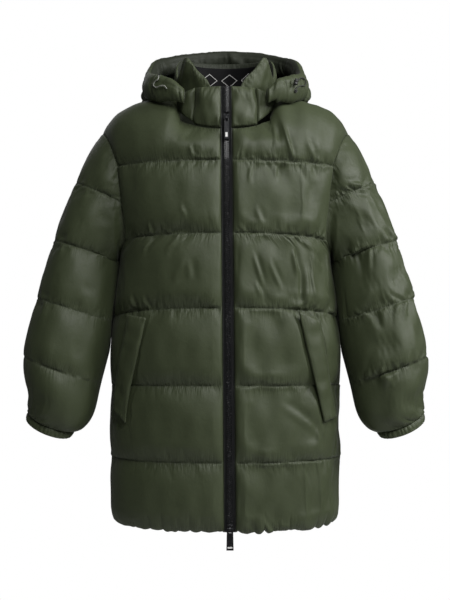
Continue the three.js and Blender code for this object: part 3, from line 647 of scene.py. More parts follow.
def finish_mesh(name: str, shape: Shape, smooth: bool = True) -> Piece:
    """Makes an object of a finished bmesh, at the origin."""
    for face in shape.faces:
        face.smooth = smooth
    mesh = bpy.data.meshes.new(name)
    shape.to_mesh(mesh)
    shape.free()
    made = bpy.data.objects.new(name, mesh)
    bpy.context.scene.collection.objects.link(made)
    return made


# ---- finishes


class Slot(Enum):
    """The record's material slots."""

    SHELL = "shell"
    FACING = "black_facing"
    TAPE = "zip_tape"
    TEETH = "zip_teeth"
    CORD = "cord"
    PLASTIC = "black_plastic"
    METAL = "dark_metal"


Colour = tuple[float, float, float]


class Nodes:
    """A node tree that is being filled."""

    def __init__(self, tree: NodeTree) -> None:
        """Takes the tree to fill."""
        self.tree = tree

    def feed(self, socket: Socket, value: object) -> None:
        """Links a socket to another one, or sets it to a plain value."""
        if isinstance(value, Socket):
            self.tree.links.new(value, socket)
        else:
            socket.default_value = value

    def add(self, kind: str, sockets: dict | None = None, **settings: object) -> bpy.types.Node:
        """Adds a node.

        Args:
            kind: the node's type.
            sockets: its inputs by name or number, each with a value or the socket that feeds it.
            settings: the node's own choices.
        """
        node = self.tree.nodes.new(kind)
        for name, value in settings.items():
            setattr(node, name, value)
        for key, value in (sockets or {}).items():
            self.feed(node.inputs[key], value)
        return node

    def math(self, operation: str, *values: object) -> Socket:
        """Adds one step of arithmetic."""
        return self.add("ShaderNodeMath", dict(enumerate(values)), operation=operation).outputs[0]

    def noise(self, place: object, scale: object, detail: float = 2.0) -> Socket:
        """Adds cloudy noise."""
        sockets = {"Vector": place, "Scale": scale, "Detail": detail}
        return self.add("ShaderNodeTexNoise", sockets).outputs["Fac"]

    def off_middle(self, value: object) -> Socket:
        """How far a 0 to 1 value is from its middle."""
        return self.math("ABSOLUTE", self.math("SUBTRACT", value, 0.5))

    def spread(self, value: object, low: float, high: float) -> Socket:
        """Stretches the middle of a 0 to 1 value over a range."""
        sockets = {"Value": value, "From Min": 0.3, "From Max": 0.7, "To Min": low, "To Max": high}
        return self.add("ShaderNodeMapRange", sockets).outputs["Result"]

    def scaled(self, colour: object, gain: object) -> Socket:
        """A colour made lighter or darker."""
        sockets = {0: colour, "Scale": gain}
        return self.add("ShaderNodeVectorMath", sockets, operation="SCALE").outputs[0]

    def blend(self, share: object, first: object, second: object) -> Socket:
        """A colour some share of the way from one to another."""
        return self.add("ShaderNodeMix", {0: share, 6: first, 7: second}, data_type="RGBA").outputs[2]


class Effect(Nodes):
    """A shader node group that is being filled."""

    def __init__(self, name: str, results: tuple[str, ...], **values: object) -> None:
        """Starts the group with an input called Place.

        Args:
            name: the group's name.
            results: its outputs' names.
            values: its other inputs' names, each with its first value.
        """
        super().__init__(bpy.data.node_groups.new(name, "ShaderNodeTree"))
        sockets = self.tree.interface
        sockets.new_socket(name="Place", in_out="INPUT", socket_type="NodeSocketVector")
        for label, value in values.items():
            kind = "NodeSocketColor" if isinstance(value, tuple) else "NodeSocketFloat"
            sockets.new_socket(name=label, in_out="INPUT", socket_type=kind).default_value = value
        for label in results:
            kind = "NodeSocketColor" if label == "Colour" else "NodeSocketFloat"
            sockets.new_socket(name=label, in_out="OUTPUT", socket_type=kind)
        self.given = self.add("NodeGroupInput").outputs
        self.place = self.given["Place"]

    def put_out(self, **results: object) -> NodeTree:
        """Ends the group with what it puts out."""
        self.add("NodeGroupOutput", results)
        return self.tree


GREY = (0.5, 0.5, 0.5, 1.0)


class Effects:
    """The node groups that several finishes share, each built once."""

    def __init__(self) -> None:
        """Builds the groups."""
        self.weave = self._weave()
        self.crinkle = self._crinkle()
        self.mottle = self._mottle()
        self.rub = self._rub()
        self.gathers = self._gathers()

    @staticmethod
    def _weave() -> NodeTree:
        """Threads that pass over and under each other."""
        group = Effect("Weave", ("Height",), Threads=1500.0)
        axes = group.add("ShaderNodeSeparateXYZ", {0: group.place}).outputs
        rate = group.math("MULTIPLY", group.given["Threads"], math.pi)
        waves = [group.math("SINE", group.math("MULTIPLY", axes[i], rate)) for i in (0, 1)]
        return group.put_out(Height=group.math("MULTIPLY_ADD", group.math("MULTIPLY", *waves), 0.5, 0.5))

    @staticmethod
    def _crinkle() -> NodeTree:
        """The faint creases of light, crisp cloth."""
        group = Effect("Crinkle", ("Height",), Scale=60.0)
        scale = group.given["Scale"]
        ridge = group.off_middle(group.noise(group.place, scale, 3.0))
        small = group.noise(group.place, group.math("MULTIPLY", scale, 3.1), 2.0)
        sharp = group.math("SUBTRACT", 1.0, group.math("MULTIPLY", ridge, 4.0))
        both = group.math("MULTIPLY_ADD", small, 0.35, group.math("MULTIPLY", sharp, 0.65))
        return group.put_out(Height=both)

    @staticmethod
    def _gathers() -> NodeTree:
        """Sharp little creases that run away from a seam, strongest beside it."""
        group = Effect("Gathers", ("Height",), Near=0.0)
        total: object = 0.0
        for along, down, share in ((95.0, 16.0, 0.6), (210.0, 30.0, 0.3)):
            stretch = group.add("ShaderNodeMapping", {0: group.place, 3: (along, down, 1.0)})
            ridge = group.off_middle(group.noise(stretch.outputs[0], 1.0, 1.0))
            total = group.math("ADD", total, group.math("MULTIPLY", ridge, 4.0 * share))
        near = group.math("POWER", group.given["Near"], 1.3)
        return group.put_out(Height=group.math("MULTIPLY", total, near))

    @staticmethod
    def _mottle() -> NodeTree:
        """A colour that drifts a little lighter and darker."""
        group = Effect("Mottle", ("Colour", "Mask"), Colour=GREY, Amount=0.2)
        broad = group.noise(group.place, 7.0, 3.0)
        fine = group.noise(group.place, 90.0, 2.0)
        cloud = group.math("MULTIPLY_ADD", fine, 0.4, group.math("MULTIPLY", broad, 0.6))
        centred = group.math("SUBTRACT", cloud, 0.5)
        gain = group.math("MULTIPLY_ADD", centred, group.given["Amount"], 1.0)
        return group.put_out(Colour=group.scaled(group.given["Colour"], gain), Mask=cloud)

    @staticmethod
    def _rub() -> NodeTree:
        """Wear and dust that gather unevenly where a mask says; on the zip's teeth and piping the lighter
        colour is partly a painted highlight.
        """
        group = Effect("Rub", ("Colour", "Mask"), Mask=0.0, Colour=GREY, Worn=GREY, Amount=0.5)
        given = group.given
        broken = group.spread(group.noise(group.place, 150.0, 4.0), 0.1, 1.0)
        share = group.math("MULTIPLY", group.math("MULTIPLY", given["Mask"], broken), given["Amount"])
        return group.put_out(Colour=group.blend(share, given["Colour"], given["Worn"]), Mask=share)


class Surface(Nodes):
    """A material that is being made."""

    def __init__(self, name: str) -> None:
        """Starts the material."""
        self.made = bpy.data.materials.new(name)
        self.made.use_nodes = True
        super().__init__(self.made.node_tree)
        self.place = self.add("ShaderNodeTexCoord").outputs["Object"]

    def flat(self) -> Socket:
        """The place on the cloth when it lies flat, in metres."""
        return self.add("ShaderNodeUVMap", uv_map="Cloth").outputs["UV"]

    def effect(self, tree: NodeTree, place: object, **sockets: object) -> object:
        """The outputs of a shared effect, placed with this material's own values."""
        return self.add("ShaderNodeGroup", {"Place": place, **sockets}, node_tree=tree).outputs

    def mottled(self, effects: Effects, colour: Colour, amount: float) -> object:
        """The outputs of the effect that makes a colour softly uneven."""
        return self.effect(effects.mottle, self.place, Colour=(*colour, 1), Amount=amount)

    def bump(self, height: object, distance: float, under: object = None) -> Socket:
        """Normals pushed by a height, over others or over the plain surface."""
        sockets = {"Height": height, "Distance": distance} | ({} if under is None else {"Normal": under})
        return self.add("ShaderNodeBump", sockets).outputs["Normal"]

    def finish(self, colour: object, roughness: object, others: dict) -> Material:
        """Feeds the shader and ends the material."""
        shader = self.tree.nodes["Principled BSDF"].inputs
        for name, value in {"Base Color": colour, "Roughness": roughness, **others}.items():
            self.feed(shader[name], value)
        return self.made


@dataclass(frozen=True)
class ClothFinish:
    """Woven cloth: its colour, gloss, weave and crinkle, and how its seams have worn."""

    name: str
    colour: Colour
    worn: Colour = (0.075, 0.085, 0.060)
    mottle: float = 0.35
    roughness: tuple[float, float] = (0.46, 0.58)
    specular: float = 0.32
    sheen: float = 0.04
    threads: float = 1600.0
    weave_depth: float = 0.00004
    crinkle_scale: float = 60.0
    crinkle_depth: float = 0.00025
    gather_depth: float = 0.0020
    wear: float = 0.25

    def material(self, effects: Effects) -> Material:
        """Builds the cloth's material."""
        made = Surface(self.name)
        flat = made.flat()
        seam = made.add("ShaderNodeAttribute", attribute_name="seam").outputs["Fac"]
        mottle = made.mottled(effects, self.colour, self.mottle)
        rub = made.effect(
            effects.rub, made.place, Mask=made.math("POWER", seam, 3.0), Colour=mottle["Colour"],
            Worn=(*self.worn, 1), Amount=self.wear,
        )
        gathers = made.effect(effects.gathers, flat, Near=seam)["Height"]
        crinkle = made.effect(effects.crinkle, made.place, Scale=self.crinkle_scale)["Height"]
        weave = made.effect(effects.weave, flat, Threads=self.threads)["Height"]
        creased = made.bump(crinkle, self.crinkle_depth, made.bump(gathers, self.gather_depth))
        return made.finish(rub["Colour"], made.spread(mottle["Mask"], *self.roughness), {
            "Specular IOR Level": self.specular, "Sheen Weight": self.sheen, "Sheen Roughness": 0.4,
            "Normal": made.bump(weave, self.weave_depth, creased),
        })


@dataclass(frozen=True)
class FacingFinish:
    """Smooth black facing with a row of plain outlined lozenges."""

    colour: Colour = (0.0035, 0.0035, 0.0040)
    line: Colour = (0.50, 0.50, 0.48)
    pitch: float = 0.042
    tall: float = 0.026
    middle: float = 0.026
    stroke: float = 0.05
    narrowness: float = 2.6

    def material(self, effects: Effects) -> Material:
        """Builds the facing's material."""
        made = Surface("black_facing")
        flat = made.flat()
        axes = made.add("ShaderNodeSeparateXYZ", {0: flat}).outputs
        step = made.math("FRACT", made.math("MULTIPLY", axes[0], 1 / self.pitch))
        across = made.math("MULTIPLY", made.off_middle(step), self.narrowness)
        high = made.math("MULTIPLY", made.math("SUBTRACT", axes[1], self.middle), 2 / self.tall)
        shape = made.math("ADD", across, made.math("ABSOLUTE", high))
        line = made.math("LESS_THAN", made.math("ABSOLUTE", made.math("SUBTRACT", shape, 1.0)), self.stroke)
        mottle = made.mottled(effects, self.colour, 0.5)
        blend = made.blend(line, mottle["Colour"], (*self.line, 1))
        weave = made.effect(effects.weave, flat, Threads=1500.0)["Height"]
        return made.finish(blend, made.spread(mottle["Mask"], 0.6, 0.7), {
            "Specular IOR Level": 0.1, "Normal": made.bump(weave, 0.00005),
        })


@dataclass(frozen=True)
class TapeFinish:
    """Black woven tape with a herringbone rib."""

    colour: Colour = (0.0075, 0.0080, 0.0085)
    rib: float = 0.0012
    zigzag: float = 0.005

    def material(self, effects: Effects) -> Material:
        """Builds the tape's material."""
        made = Surface("zip_tape")
        axes = made.add("ShaderNodeSeparateXYZ", {0: made.flat()}).outputs
        slant = made.math("ADD", made.math("PINGPONG", axes[0], self.zigzag / 2), axes[1])
        rib = made.math("SINE", made.math("MULTIPLY", slant, TURN / self.rib))
        mottle = made.mottled(effects, self.colour, 0.5)
        # The colour darkens in the rib's troughs, with the same wave as its bump: painted shade.
        tint = made.scaled(mottle["Colour"], made.math("MULTIPLY_ADD", rib, 0.12, 0.9))
        return made.finish(tint, made.spread(mottle["Mask"], 0.48, 0.62), {
            "Specular IOR Level": 0.2, "Normal": made.bump(rib, 0.00012),
        })


@dataclass(frozen=True)
class HardFinish:
    """A moulded, plated or painted hard part, slightly scuffed; on the zip's teeth the light scuffs are
    painted glints.
    """

    name: str
    colour: Colour
    worn: Colour
    roughness: tuple[float, float]
    metallic: float = 0.0
    grain: float = 900.0
    grain_depth: float = 0.00003

    def material(self, effects: Effects) -> Material:
        """Builds the part's material."""
        made = Surface(self.name)
        mottle = made.mottled(effects, self.colour, 0.4)
        # Light scuffs: wear on most parts, painted glints on the zip's teeth.
        scuffs_and_glints = made.math("GREATER_THAN", made.noise(made.place, 420.0, 5.0), 0.60)
        rub = made.effect(
            effects.rub, made.place, Mask=scuffs_and_glints, Colour=mottle["Colour"], Worn=(*self.worn, 1), Amount=0.5
        )
        grain = made.noise(made.place, self.grain, 3.0)
        return made.finish(rub["Colour"], made.spread(mottle["Mask"], *self.roughness), {
            "Metallic": self.metallic, "Specular IOR Level": 0.5,
            "Normal": made.bump(grain, self.grain_depth),
        })


@dataclass(frozen=True)
class CordFinish:
    """A round braided cord."""

    name: str
    colour: Colour
    braid: float = 0.0016

    def material(self, effects: Effects) -> Material:
        """Builds the cord's material."""
        made = Surface(self.name)
        axes = made.add("ShaderNodeSeparateXYZ", {0: made.flat()}).outputs
        ways = [made.math(way, axes[0], axes[1]) for way in ("ADD", "SUBTRACT")]
        waves = [made.math("SINE", made.math("MULTIPLY", way, TURN / self.braid)) for way in ways]
        braid = made.math("MULTIPLY_ADD", made.math("MULTIPLY", *waves), 0.5, 0.5)
        mottle = made.mottled(effects, self.colour, 0.4)
        # The colour darkens where the braid's bump is low: painted shade in its grooves.
        tint = made.scaled(mottle["Colour"], made.math("MULTIPLY_ADD", braid, 0.5, 0.65))
        return made.finish(tint, made.spread(mottle["Mask"], 0.55, 0.75), {
            "Normal": made.bump(braid, 0.00015),
        })


class Wardrobe:
    """Every finish of the coat, each made once."""

    def __init__(self) -> None:
        """Builds the shared effects and then the materials."""
        effects = Effects()
        self.shell = ClothFinish("olive_nylon", (0.045, 0.057, 0.0265)).material(effects)
        # The lining is the shell's olive made darker: painted shade for the coat's insides, above all the
        # hood's and its rim's.
        self.lining_painted_shade = ClothFinish(
            "olive_lining_painted_shade", (0.016, 0.020, 0.011), roughness=(0.6, 0.7), wear=0.1
        ).material(effects)
        self.thread = ClothFinish(
            "olive_thread", (0.040, 0.048, 0.030), roughness=(0.55, 0.7), threads=900.0, crinkle_scale=600.0,
            crinkle_depth=0.0001, gather_depth=0.0,
        ).material(effects)
        # The piping is a lighter black than the tape and is rubbed lighter on its bead: partly its own
        # colour and wear, partly a painted highlight along the zip.
        self.piping = ClothFinish(
            "black_piping_painted_highlight", (0.020, 0.023, 0.018), worn=(0.07, 0.07, 0.07), roughness=(0.40, 0.50),
            crinkle_depth=0.0001, gather_depth=0.0,
        ).material(effects)
        self.facing = FacingFinish().material(effects)
        self.tape = TapeFinish().material(effects)
        # The teeth's light scuff colour stands for glints: painted highlights.
        self.teeth = HardFinish(
            "black_teeth_painted_glints", (0.011, 0.0115, 0.012), (0.16, 0.16, 0.16), (0.18, 0.28)
        ).material(effects)
        self.plastic = HardFinish(
            "black_plastic", (0.014, 0.015, 0.014), (0.05, 0.05, 0.05), (0.35, 0.5)
        ).material(effects)
        self.metal = HardFinish(
            "dark_metal", (0.045, 0.046, 0.048), (0.22, 0.22, 0.22), (0.26, 0.40), 0.9
        ).material(effects)
        self.enamel = HardFinish(
            "white_enamel", (0.80, 0.80, 0.78), (0.55, 0.55, 0.53), (0.35, 0.5)
        ).material(effects)
        # One cord in two copies: a light one as painted light and a dark one as painted shade.
        self.cord_painted_light = CordFinish("cord_painted_light", (0.26, 0.27, 0.24)).material(effects)
        self.cord_painted_shade = CordFinish("cord_painted_shade", (0.030, 0.034, 0.026)).material(effects)


def sew_on(
    piece: Piece, slot: Slot, node: str | None, *finishes: Material, body: str = "root"
) -> Piece:
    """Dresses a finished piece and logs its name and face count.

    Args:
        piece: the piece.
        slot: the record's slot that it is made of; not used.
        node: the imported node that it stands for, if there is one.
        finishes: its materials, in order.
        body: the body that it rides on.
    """
    for finish in finishes:
        piece.data.materials.append(finish)
    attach(piece, body)
    if node is not None:
        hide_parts(node)
    LOG.info("%s: %d faces", piece.name, len(piece.data.polygons))
    return piece


# ---- padded pieces


@dataclass(frozen=True)
class Padding:
    """How full a quilted piece is, in metres."""

    middle: float = 0.013
    side: float = 0.007
    upper_rise: float = 0.074
    lower_rise: float = 0.040
    edge_rise: float = 0.022
    softness: float = 1.5  # above 1, baffles rise less steeply from their stitches
    inner_share: float = 0.85
    fill: float = 0.7


@dataclass
class PaddedCloth:
    """A padded piece as grids, from its middle surface to its finished wall.

    The rows in stitched are sewn down, and held marks every point that the filling cannot lift.
    """

    name: str
    node: str
    base: Array
    normals: Array
    height: Array | None
    held: Array | None
    stitched: Array
    inner_share: float = 0.85
    fill: float = 0.7
    closed: bool = False
    loosen: float = 0.045  # how far from a held part of its row a point moves freely
    pressed_share: float = 0.8  # of its height, which is as far as a pucker may press it down
    worn_reach: float = 0.014  # how far from a stitched line its wear fades

    def looseness(self) -> Array:
        """How free each point is to move, from 0 beside a held part of its row to 1 further in."""
        along, free = self.along(), np.ones_like(self.height)
        for row, held in enumerate(self.held):
            if 0 < held.sum() < len(held):
                away = np.abs(along[row][:, None] - along[row][held]).min(axis=1)
                free[row] = ease(away / self.loosen)
        return free

    def along(self) -> Array:
        """Distances along the rows."""
        return distances(np.swapaxes(self.base, 0, 1)).T

    def run(self) -> Array:
        """Distances down the columns."""
        return distances(self.base)

    def finish(
        self, wardrobe: Wardrobe, relief: Relief, inflation: Inflation | None, soften: Array
    ) -> tuple[Piece, Array]:
        """Blows the piece up, presses its puckers and folds in and closes its wall.

        Args:
            wardrobe: the finishes.
            relief: the shapes of its cloth.
            inflation: how it is blown up, or None for a small piece that keeps its drawn height.
            soften: the share of the relief at each point.

        Returns:
            The piece and the points of its outer skin.
        """
        along, run = self.along(), self.run()
        outer = self.base + self.normals * (SEAM_HALF + self.height)[..., None]
        if inflation is not None:
            blown = inflation.run(self.name, outer, self.held)
            outer = outer + (blown - outer) * self.looseness()[..., None]
        pressed = relief.height(along, run, self.stitched, outer) * soften
        outer = outer + self.normals * np.maximum(pressed, -self.pressed_share * self.height)[..., None]
        inner = self.base - self.normals * (SEAM_HALF + self.inner_share * self.height)[..., None]
        if self.closed:
            outer[:, -1], inner[:, -1] = outer[:, 0], inner[:, 0]
        nearest = np.abs(run[None] - run[self.stitched][:, None]).min(axis=0)
        worn = np.exp(-nearest / self.worn_reach)
        size = (float(along[:, -1].max()), float(run[-1].max()))
        piece = wall_object(self.name, outer, inner, size, worn, self.closed)
        sew_on(piece, Slot.SHELL, self.node, wardrobe.shell, wardrobe.lining_painted_shade)
        return piece, outer


def baffle_rows(count: int, baffles: int) -> Array:
    """Marks of a quilted piece's rows, closer together near its stitched lines."""
    step = np.linspace(0, 1, count + 1)[:-1]
    near = 0.3 * step + 0.7 * (0.5 - 0.5 * np.cos(np.pi * step))
    return np.concatenate([*[near + k for k in range(baffles)], [float(baffles)]])


def stitched_rows(marks: Array) -> Array:
    """The numbers of the rows that lie on stitched lines."""
    return np.flatnonzero(np.abs(marks - np.round(marks)) < 1e-6)


def baffle_height(run: Array, rows: Array, padding: Padding) -> Array:
    """The height of the baffles, from 0 on their stitched lines to 1."""
    above = np.full_like(run, 1.0)
    below = np.full_like(run, 1.0)
    for row in rows:
        away = run - run[row]
        above = np.where(away >= 0, np.minimum(above, np.abs(away)), above)
        below = np.where(away <= 0, np.minimum(below, np.abs(away)), below)
    rise = quarter_round(above, padding.upper_rise) * quarter_round(below, padding.lower_rise)
    return rise ** padding.softness


def outward(points: Array, centre: Array) -> Array:
    """Normals of a grid that point away from an upright line through a centre."""
    return facing(grid_normals(points), (points - centre) * np.array([1, 1, 0.2]))


# ---- fronts and back


@dataclass(frozen=True)
class WeltPlan:
    """Where a slanted pocket welt lies: inner and outer edges seen from the front, top to bottom."""

    side: int
    rows: tuple[tuple[float, float, float, float], ...]
    stand: float = 0.004
    crown: float = 0.0025

    def edges(self, at: Array) -> tuple[Array, Array]:
        """The inner and outer edges, as x and z, at places from 0 at the top to 1 at the foot."""
        table = tuple((i, *row) for i, row in enumerate(self.rows))
        found = read_table(table, np.asarray(at) * (len(self.rows) - 1))
        return found[..., :2], found[..., 2:]

    def covers(self, points: Array, margin: float) -> Array:
        """Which points lie under the welt."""
        inner, outer = self.edges(np.linspace(0, 1, 30))
        middle, half = (inner + outer) / 2, np.linalg.norm(outer - inner, axis=1) / 2
        flat = points[..., [0, 2]]
        far = np.linalg.norm(flat[..., None, :] - middle, axis=-1) - half
        return (far.min(axis=-1) < margin) & (points[..., 1] < 0)


@dataclass
class QuiltedPanel:
    """A flat-cut quilted piece of the body: one front, or the whole back."""

    name: str
    node: str
    form: BodyForm
    padding: Padding
    relief: Relief
    columns: int
    welt: WeltPlan | None = None
    rows: int = 28
    scallop: float = 0.0050
    scallop_width: float = 0.0300
    side_valley: float = 0.92  # the share of its height that a baffle keeps in its valleys at the side

    def surface(self, across: Array, mark: Array) -> Array:
        """Points of the panel's middle surface. Across runs from -1 or 0 to 1."""
        raise NotImplementedError

    def span(self) -> tuple[float, float]:
        """The lowest and highest value of across."""
        return 0.0, 1.0

    def draw_hem(self, points: Array, mark: Array) -> Array:
        """Lets the elastic in the hem draw its edge into shallow scallops."""
        along = points[..., 0] + 0.3 * points[..., 1]
        phase = along / self.scallop_width + 1.1 * noise_line(along / 0.07 + 40, 77)
        arch = np.abs(np.sin(math.pi * phase)) ** 0.6 + 0.35 * noise_line(along / 0.009 + 17, 79)
        size = 0.8 + 0.55 * noise_line(along / 0.035 + 9, 78)
        points = points.copy()
        points[..., 2] -= self.scallop * (arch * size - 0.45) * ease((mark - 5.5) / 0.5)
        return points

    def build(self, wardrobe: Wardrobe, inflation: Inflation) -> tuple[Piece, list[Array]]:
        """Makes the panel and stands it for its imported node.

        Returns:
            The panel, and the lines its stitches follow.
        """
        low, high = self.span()
        shares = even_shares(self.surface(np.linspace(low, high, 300), np.full(300, 3.4)), self.columns)
        marks = baffle_rows(self.rows, 6)
        across, mark = np.meshgrid(mix(low, high, shares), marks)
        base = self.draw_hem(self.surface(across, mark), mark)
        normals = outward(base, np.array([0.0, 0.0, -0.4]))
        stitched = stitched_rows(marks)
        cloth = PaddedCloth(
            self.name, self.node, base, normals, None, None, stitched,
            self.padding.inner_share, self.padding.fill,
        )
        along, run = cloth.along(), cloth.run()
        to_side = np.minimum(along, along[:, -1:] - along)
        share = ease((np.abs(across) - 0.5) / 0.5)
        full = mix(self.padding.middle, self.padding.side, share)
        by_side = ease((np.abs(across) - 0.8) / 0.2)
        kept = self.side_valley * by_side * ((mark > 1) & (mark < 5.5))
        cloth.height = full * mix(kept, 1.0, baffle_height(run, stitched, self.padding))
        cloth.height = cloth.height * quarter_round(to_side, self.padding.edge_rise)
        cloth.held = np.isin(np.arange(len(marks)), stitched)[:, None] | (to_side < FLAT)
        cloth.held = cloth.held | ((by_side > 0.4) & (mark > 1) & (mark < 4))
        if self.welt is not None:
            under = self.welt.covers(base, 0.002)
            cloth.held = cloth.held | under
            cloth.height = cloth.height * np.where(under, 0.8, 1.0)
        soften = np.clip(to_side / 0.008, 0, 1) * np.clip(cloth.height / 0.003, 0, 1)
        soften = soften * np.where((mark > 1.2) & (mark < 4), 1 - 0.8 * by_side, 1.0)
        piece, outer = cloth.finish(wardrobe, self.relief, inflation, soften)
        lines = [outer[row] + normals[row] * STITCH_PROUD for row in stitched[1:-1]]
        return piece, lines


@dataclass
class FrontPanel(QuiltedPanel):
    """One front of the coat, from the shoulder to the hem."""

    side: int = -1  # -1 on the wearer's right and 1 on the left

    def surface(self, across: Array, mark: Array) -> Array:
        """Points of the front's middle surface."""
        points = self.form.panel(False, across, mark, self.side)
        points[..., 0] *= -self.side
        return points


@dataclass
class BackPanel(QuiltedPanel):
    """The back of the coat in one piece."""

    seam_gap: float = CLEAR
    shoulder_gap: float = 0.0014

    def span(self) -> tuple[float, float]:
        """The back runs from side to side."""
        return -1.0, 1.0

    def surface(self, across: Array, mark: Array) -> Array:
        """Points of the back's middle surface."""
        points = self.form.panel(True, np.abs(across), mark)
        points[..., 0] = np.where(across > 0, -points[..., 0], points[..., 0])
        points[..., 1] += self.seam_gap + self.shoulder_gap * np.maximum(1 - mark, 0)
        return points


# ---- sleeves and cuffs


@dataclass
class Sleeve:
    """One quilted sleeve, from the armhole to the wrist, and its elastic cuff."""

    side: int
    form: BodyForm
    relief: Relief
    padding: Padding = Padding(0.0100, 0.012, 0.062, 0.038, inner_share=0.8)
    hole_rise: float = 0.030  # how far below the underarm the sleeve fills the room beside the body
    outer_share: float = 0.6  # of that height on the outer line of the sleeve
    columns: int = 176
    rows: int = 24
    gap: float = 0.0010
    underarm: tuple[float, float] = (-0.270, 0.06)  # where the gap starts to widen, and how fast
    outer_valley: float = 0.6
    outline_share: float = 0.45  # of its puckers, kept on the outer line
    clear: float = 0.0008
    bulge: float = 0.014
    yoke_line: tuple = ((-0.218, -0.203), (-0.305, -0.162))
    hole_marks: tuple = (0.0, 0.18, 0.5, 0.82, 1.0, 1.18, 1.5, 1.82, 2.0, 2.18)
    rings: tuple = (  # inner x and z, outer x and z, middle y, half depth, turn of the inner end, drop
        (-0.228, -0.322, -0.345, -0.283, -0.008, 0.070, 0.012, 0.00),
        (-0.238, -0.447, -0.377, -0.401, -0.022, 0.074, 0.012, 0.00),
        (-0.265, -0.568, -0.402, -0.517, -0.036, 0.074, 0.006, 0.05),
        (-0.280, -0.632, -0.392, -0.594, -0.044, 0.058, 0.002, 0.20),
        (-0.306, -0.661, -0.394, -0.628, -0.048, 0.042, 0.000, 0.36),
    )
    cuff_height: float = 0.016
    cuff_half_thick: float = 0.0011
    cuff_size: tuple[float, float] = (0.28, 0.016)  # laid flat
    cuff_swell: float = 0.0006
    ribs: float = 36.0
    rib_depth: float = 0.0028

    def turned(self, vectors: Array) -> Array:
        """Mirrors points or directions for the wearer's left side."""
        return vectors * np.array([-1.0, 1.0, 1.0]) if self.side > 0 else vectors

    def ring(self, number: int, around: Array) -> Array:
        """Points of one ring, by shares of a turn from the underarm through the front."""
        inner_x, inner_z, outer_x, outer_z, middle_y, depth, turned, drop = self.rings[number]
        angle = around * TURN
        y = -depth * np.sin(angle)
        x = (inner_x + outer_x) / 2 - np.cos(angle) * (outer_x - inner_x) / 2
        z = (inner_z + outer_z) / 2 - np.cos(angle) * (outer_z - inner_z) / 2 + y * drop
        return np.stack([x, middle_y + y + turned * np.cos(angle), z], -1)

    def armhole(self, around: Array) -> Array:
        """Points of the armhole seam."""
        last = len(self.hole_marks) - 1
        mark = np.interp(np.abs(1 - 2 * around) * last, np.arange(last + 1), self.hole_marks)
        front = self.form.panel(False, np.ones_like(mark), mark)
        back = self.form.panel(True, np.ones_like(mark), mark)
        points = np.where((around <= 0.5)[..., None], front, back)
        start, rate = self.underarm
        points[..., 0] -= self.gap + rate * np.maximum(start - points[..., 2], 0)
        return points

    def surface(self, around: Array, down: Array) -> Array:
        """Points of the sleeve. Down is 0 at the armhole, 1 at the first ring and 5 at the wrist."""
        hole, first = self.armhole(around), self.ring(0, around)
        bend = (hole + first) / 2
        bend[..., 0] -= self.bulge * (1 - np.cos(around * TURN)) / 2
        upper = bezier(hole, bend, first, np.clip(down, 0, 1))
        rings = np.stack([self.ring(i, around) for i in range(len(self.rings))])
        rings = np.concatenate([2 * rings[:1] - rings[1:2], rings, 2 * rings[-1:] - rings[-2:-1]])
        at = np.clip(down - 1, 0, len(self.rings) - 1)
        i = np.minimum(at.astype(int), len(self.rings) - 2)
        t = (at - i)[..., None]
        p0, p1, p2, p3 = (np.take_along_axis(rings, (i + k)[None, ..., None], axis=0)[0] for k in range(4))
        curve = t * (2 * p0 - 5 * p1 + 4 * p2 - p3 + t * (3 * (p1 - p2) + p3 - p0))
        return np.where((down < 1)[..., None], upper, p1 + 0.5 * t * (p2 - p0 + curve))

    def yoke_share(self, around: Array) -> Array:
        """Where the sleeve's first stitched line crosses each line down it, between 0 and 1."""
        (x0, z0), (x1, z1) = self.yoke_line
        shares = np.linspace(0, 1, 121)
        grid = self.surface(np.tile(around, (121, 1)), np.tile(shares[:, None], (1, len(around))))
        above = (grid[..., 2] - z0) * (x0 - x1) - (grid[..., 0] - x0) * (z0 - z1)
        return np.clip(shares[np.argmax(above < 0, axis=0)], 0.03, 0.7)

    def build(self, wardrobe: Wardrobe, inflation: Inflation) -> tuple[Piece, list[Array]]:
        """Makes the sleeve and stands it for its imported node.

        Returns:
            The sleeve, and the lines its stitches follow.
        """
        shares = even_shares(self.ring(1, np.linspace(0, 1, 400)), self.columns)
        marks = baffle_rows(self.rows, 5)
        around, mark = np.meshgrid(shares, marks)
        yoke = np.tile(self.yoke_share(shares), (len(marks), 1))
        down = np.where(mark < 1, mark * yoke, np.where(mark < 2, mix(yoke, 1, mark - 1), mark - 1))
        down = np.where(mark > 4, 3 + (mark - 4) * 2, down)
        base = self.surface(around, down)
        normals = facing(grid_normals(base), base - base.mean(axis=1, keepdims=True))
        normals[:, 0] = normals[:, -1] = unit(normals[:, 0] + normals[:, -1])
        stitched = stitched_rows(marks)
        word = side_word(self.side)
        cloth = PaddedCloth(
            f"quilted_sleeve_{word}", f"sleeve_{word}", self.turned(base), self.turned(normals), None, None,
            stitched, self.padding.inner_share, self.padding.fill, closed=True,
        )
        run = cloth.run()
        from_inner = np.minimum(around, 1 - around) * 2
        from_hole = quarter_round(run, self.padding.upper_rise)
        to_wrist = quarter_round(run[-1:] - run, self.padding.lower_rise / 2)
        kept = self.outer_valley * np.clip(from_inner - 0.6, 0, 1) * 2.5 * (mark > 0.5)
        rise = mix(kept, 1.0, baffle_height(run, stitched, self.padding))
        full = self.padding.middle * mix(1.0, self.outer_share, ease((from_inner - 0.55) / 0.3))
        regular = full * np.minimum(rise, from_hole) * np.minimum(to_wrist * 4, 1)
        room = self.form.room_beside(base, Padding().side + self.clear)
        pressed = np.clip(room, 0, self.padding.side * quarter_round(run, self.hole_rise) * to_wrist)
        against = np.clip((from_inner - 0.2) / 0.25, 0, 1)
        cloth.height = mix(pressed, regular, against)
        cloth.held = np.isin(np.arange(len(marks)), stitched)[:, None] | (from_inner < 0.3)
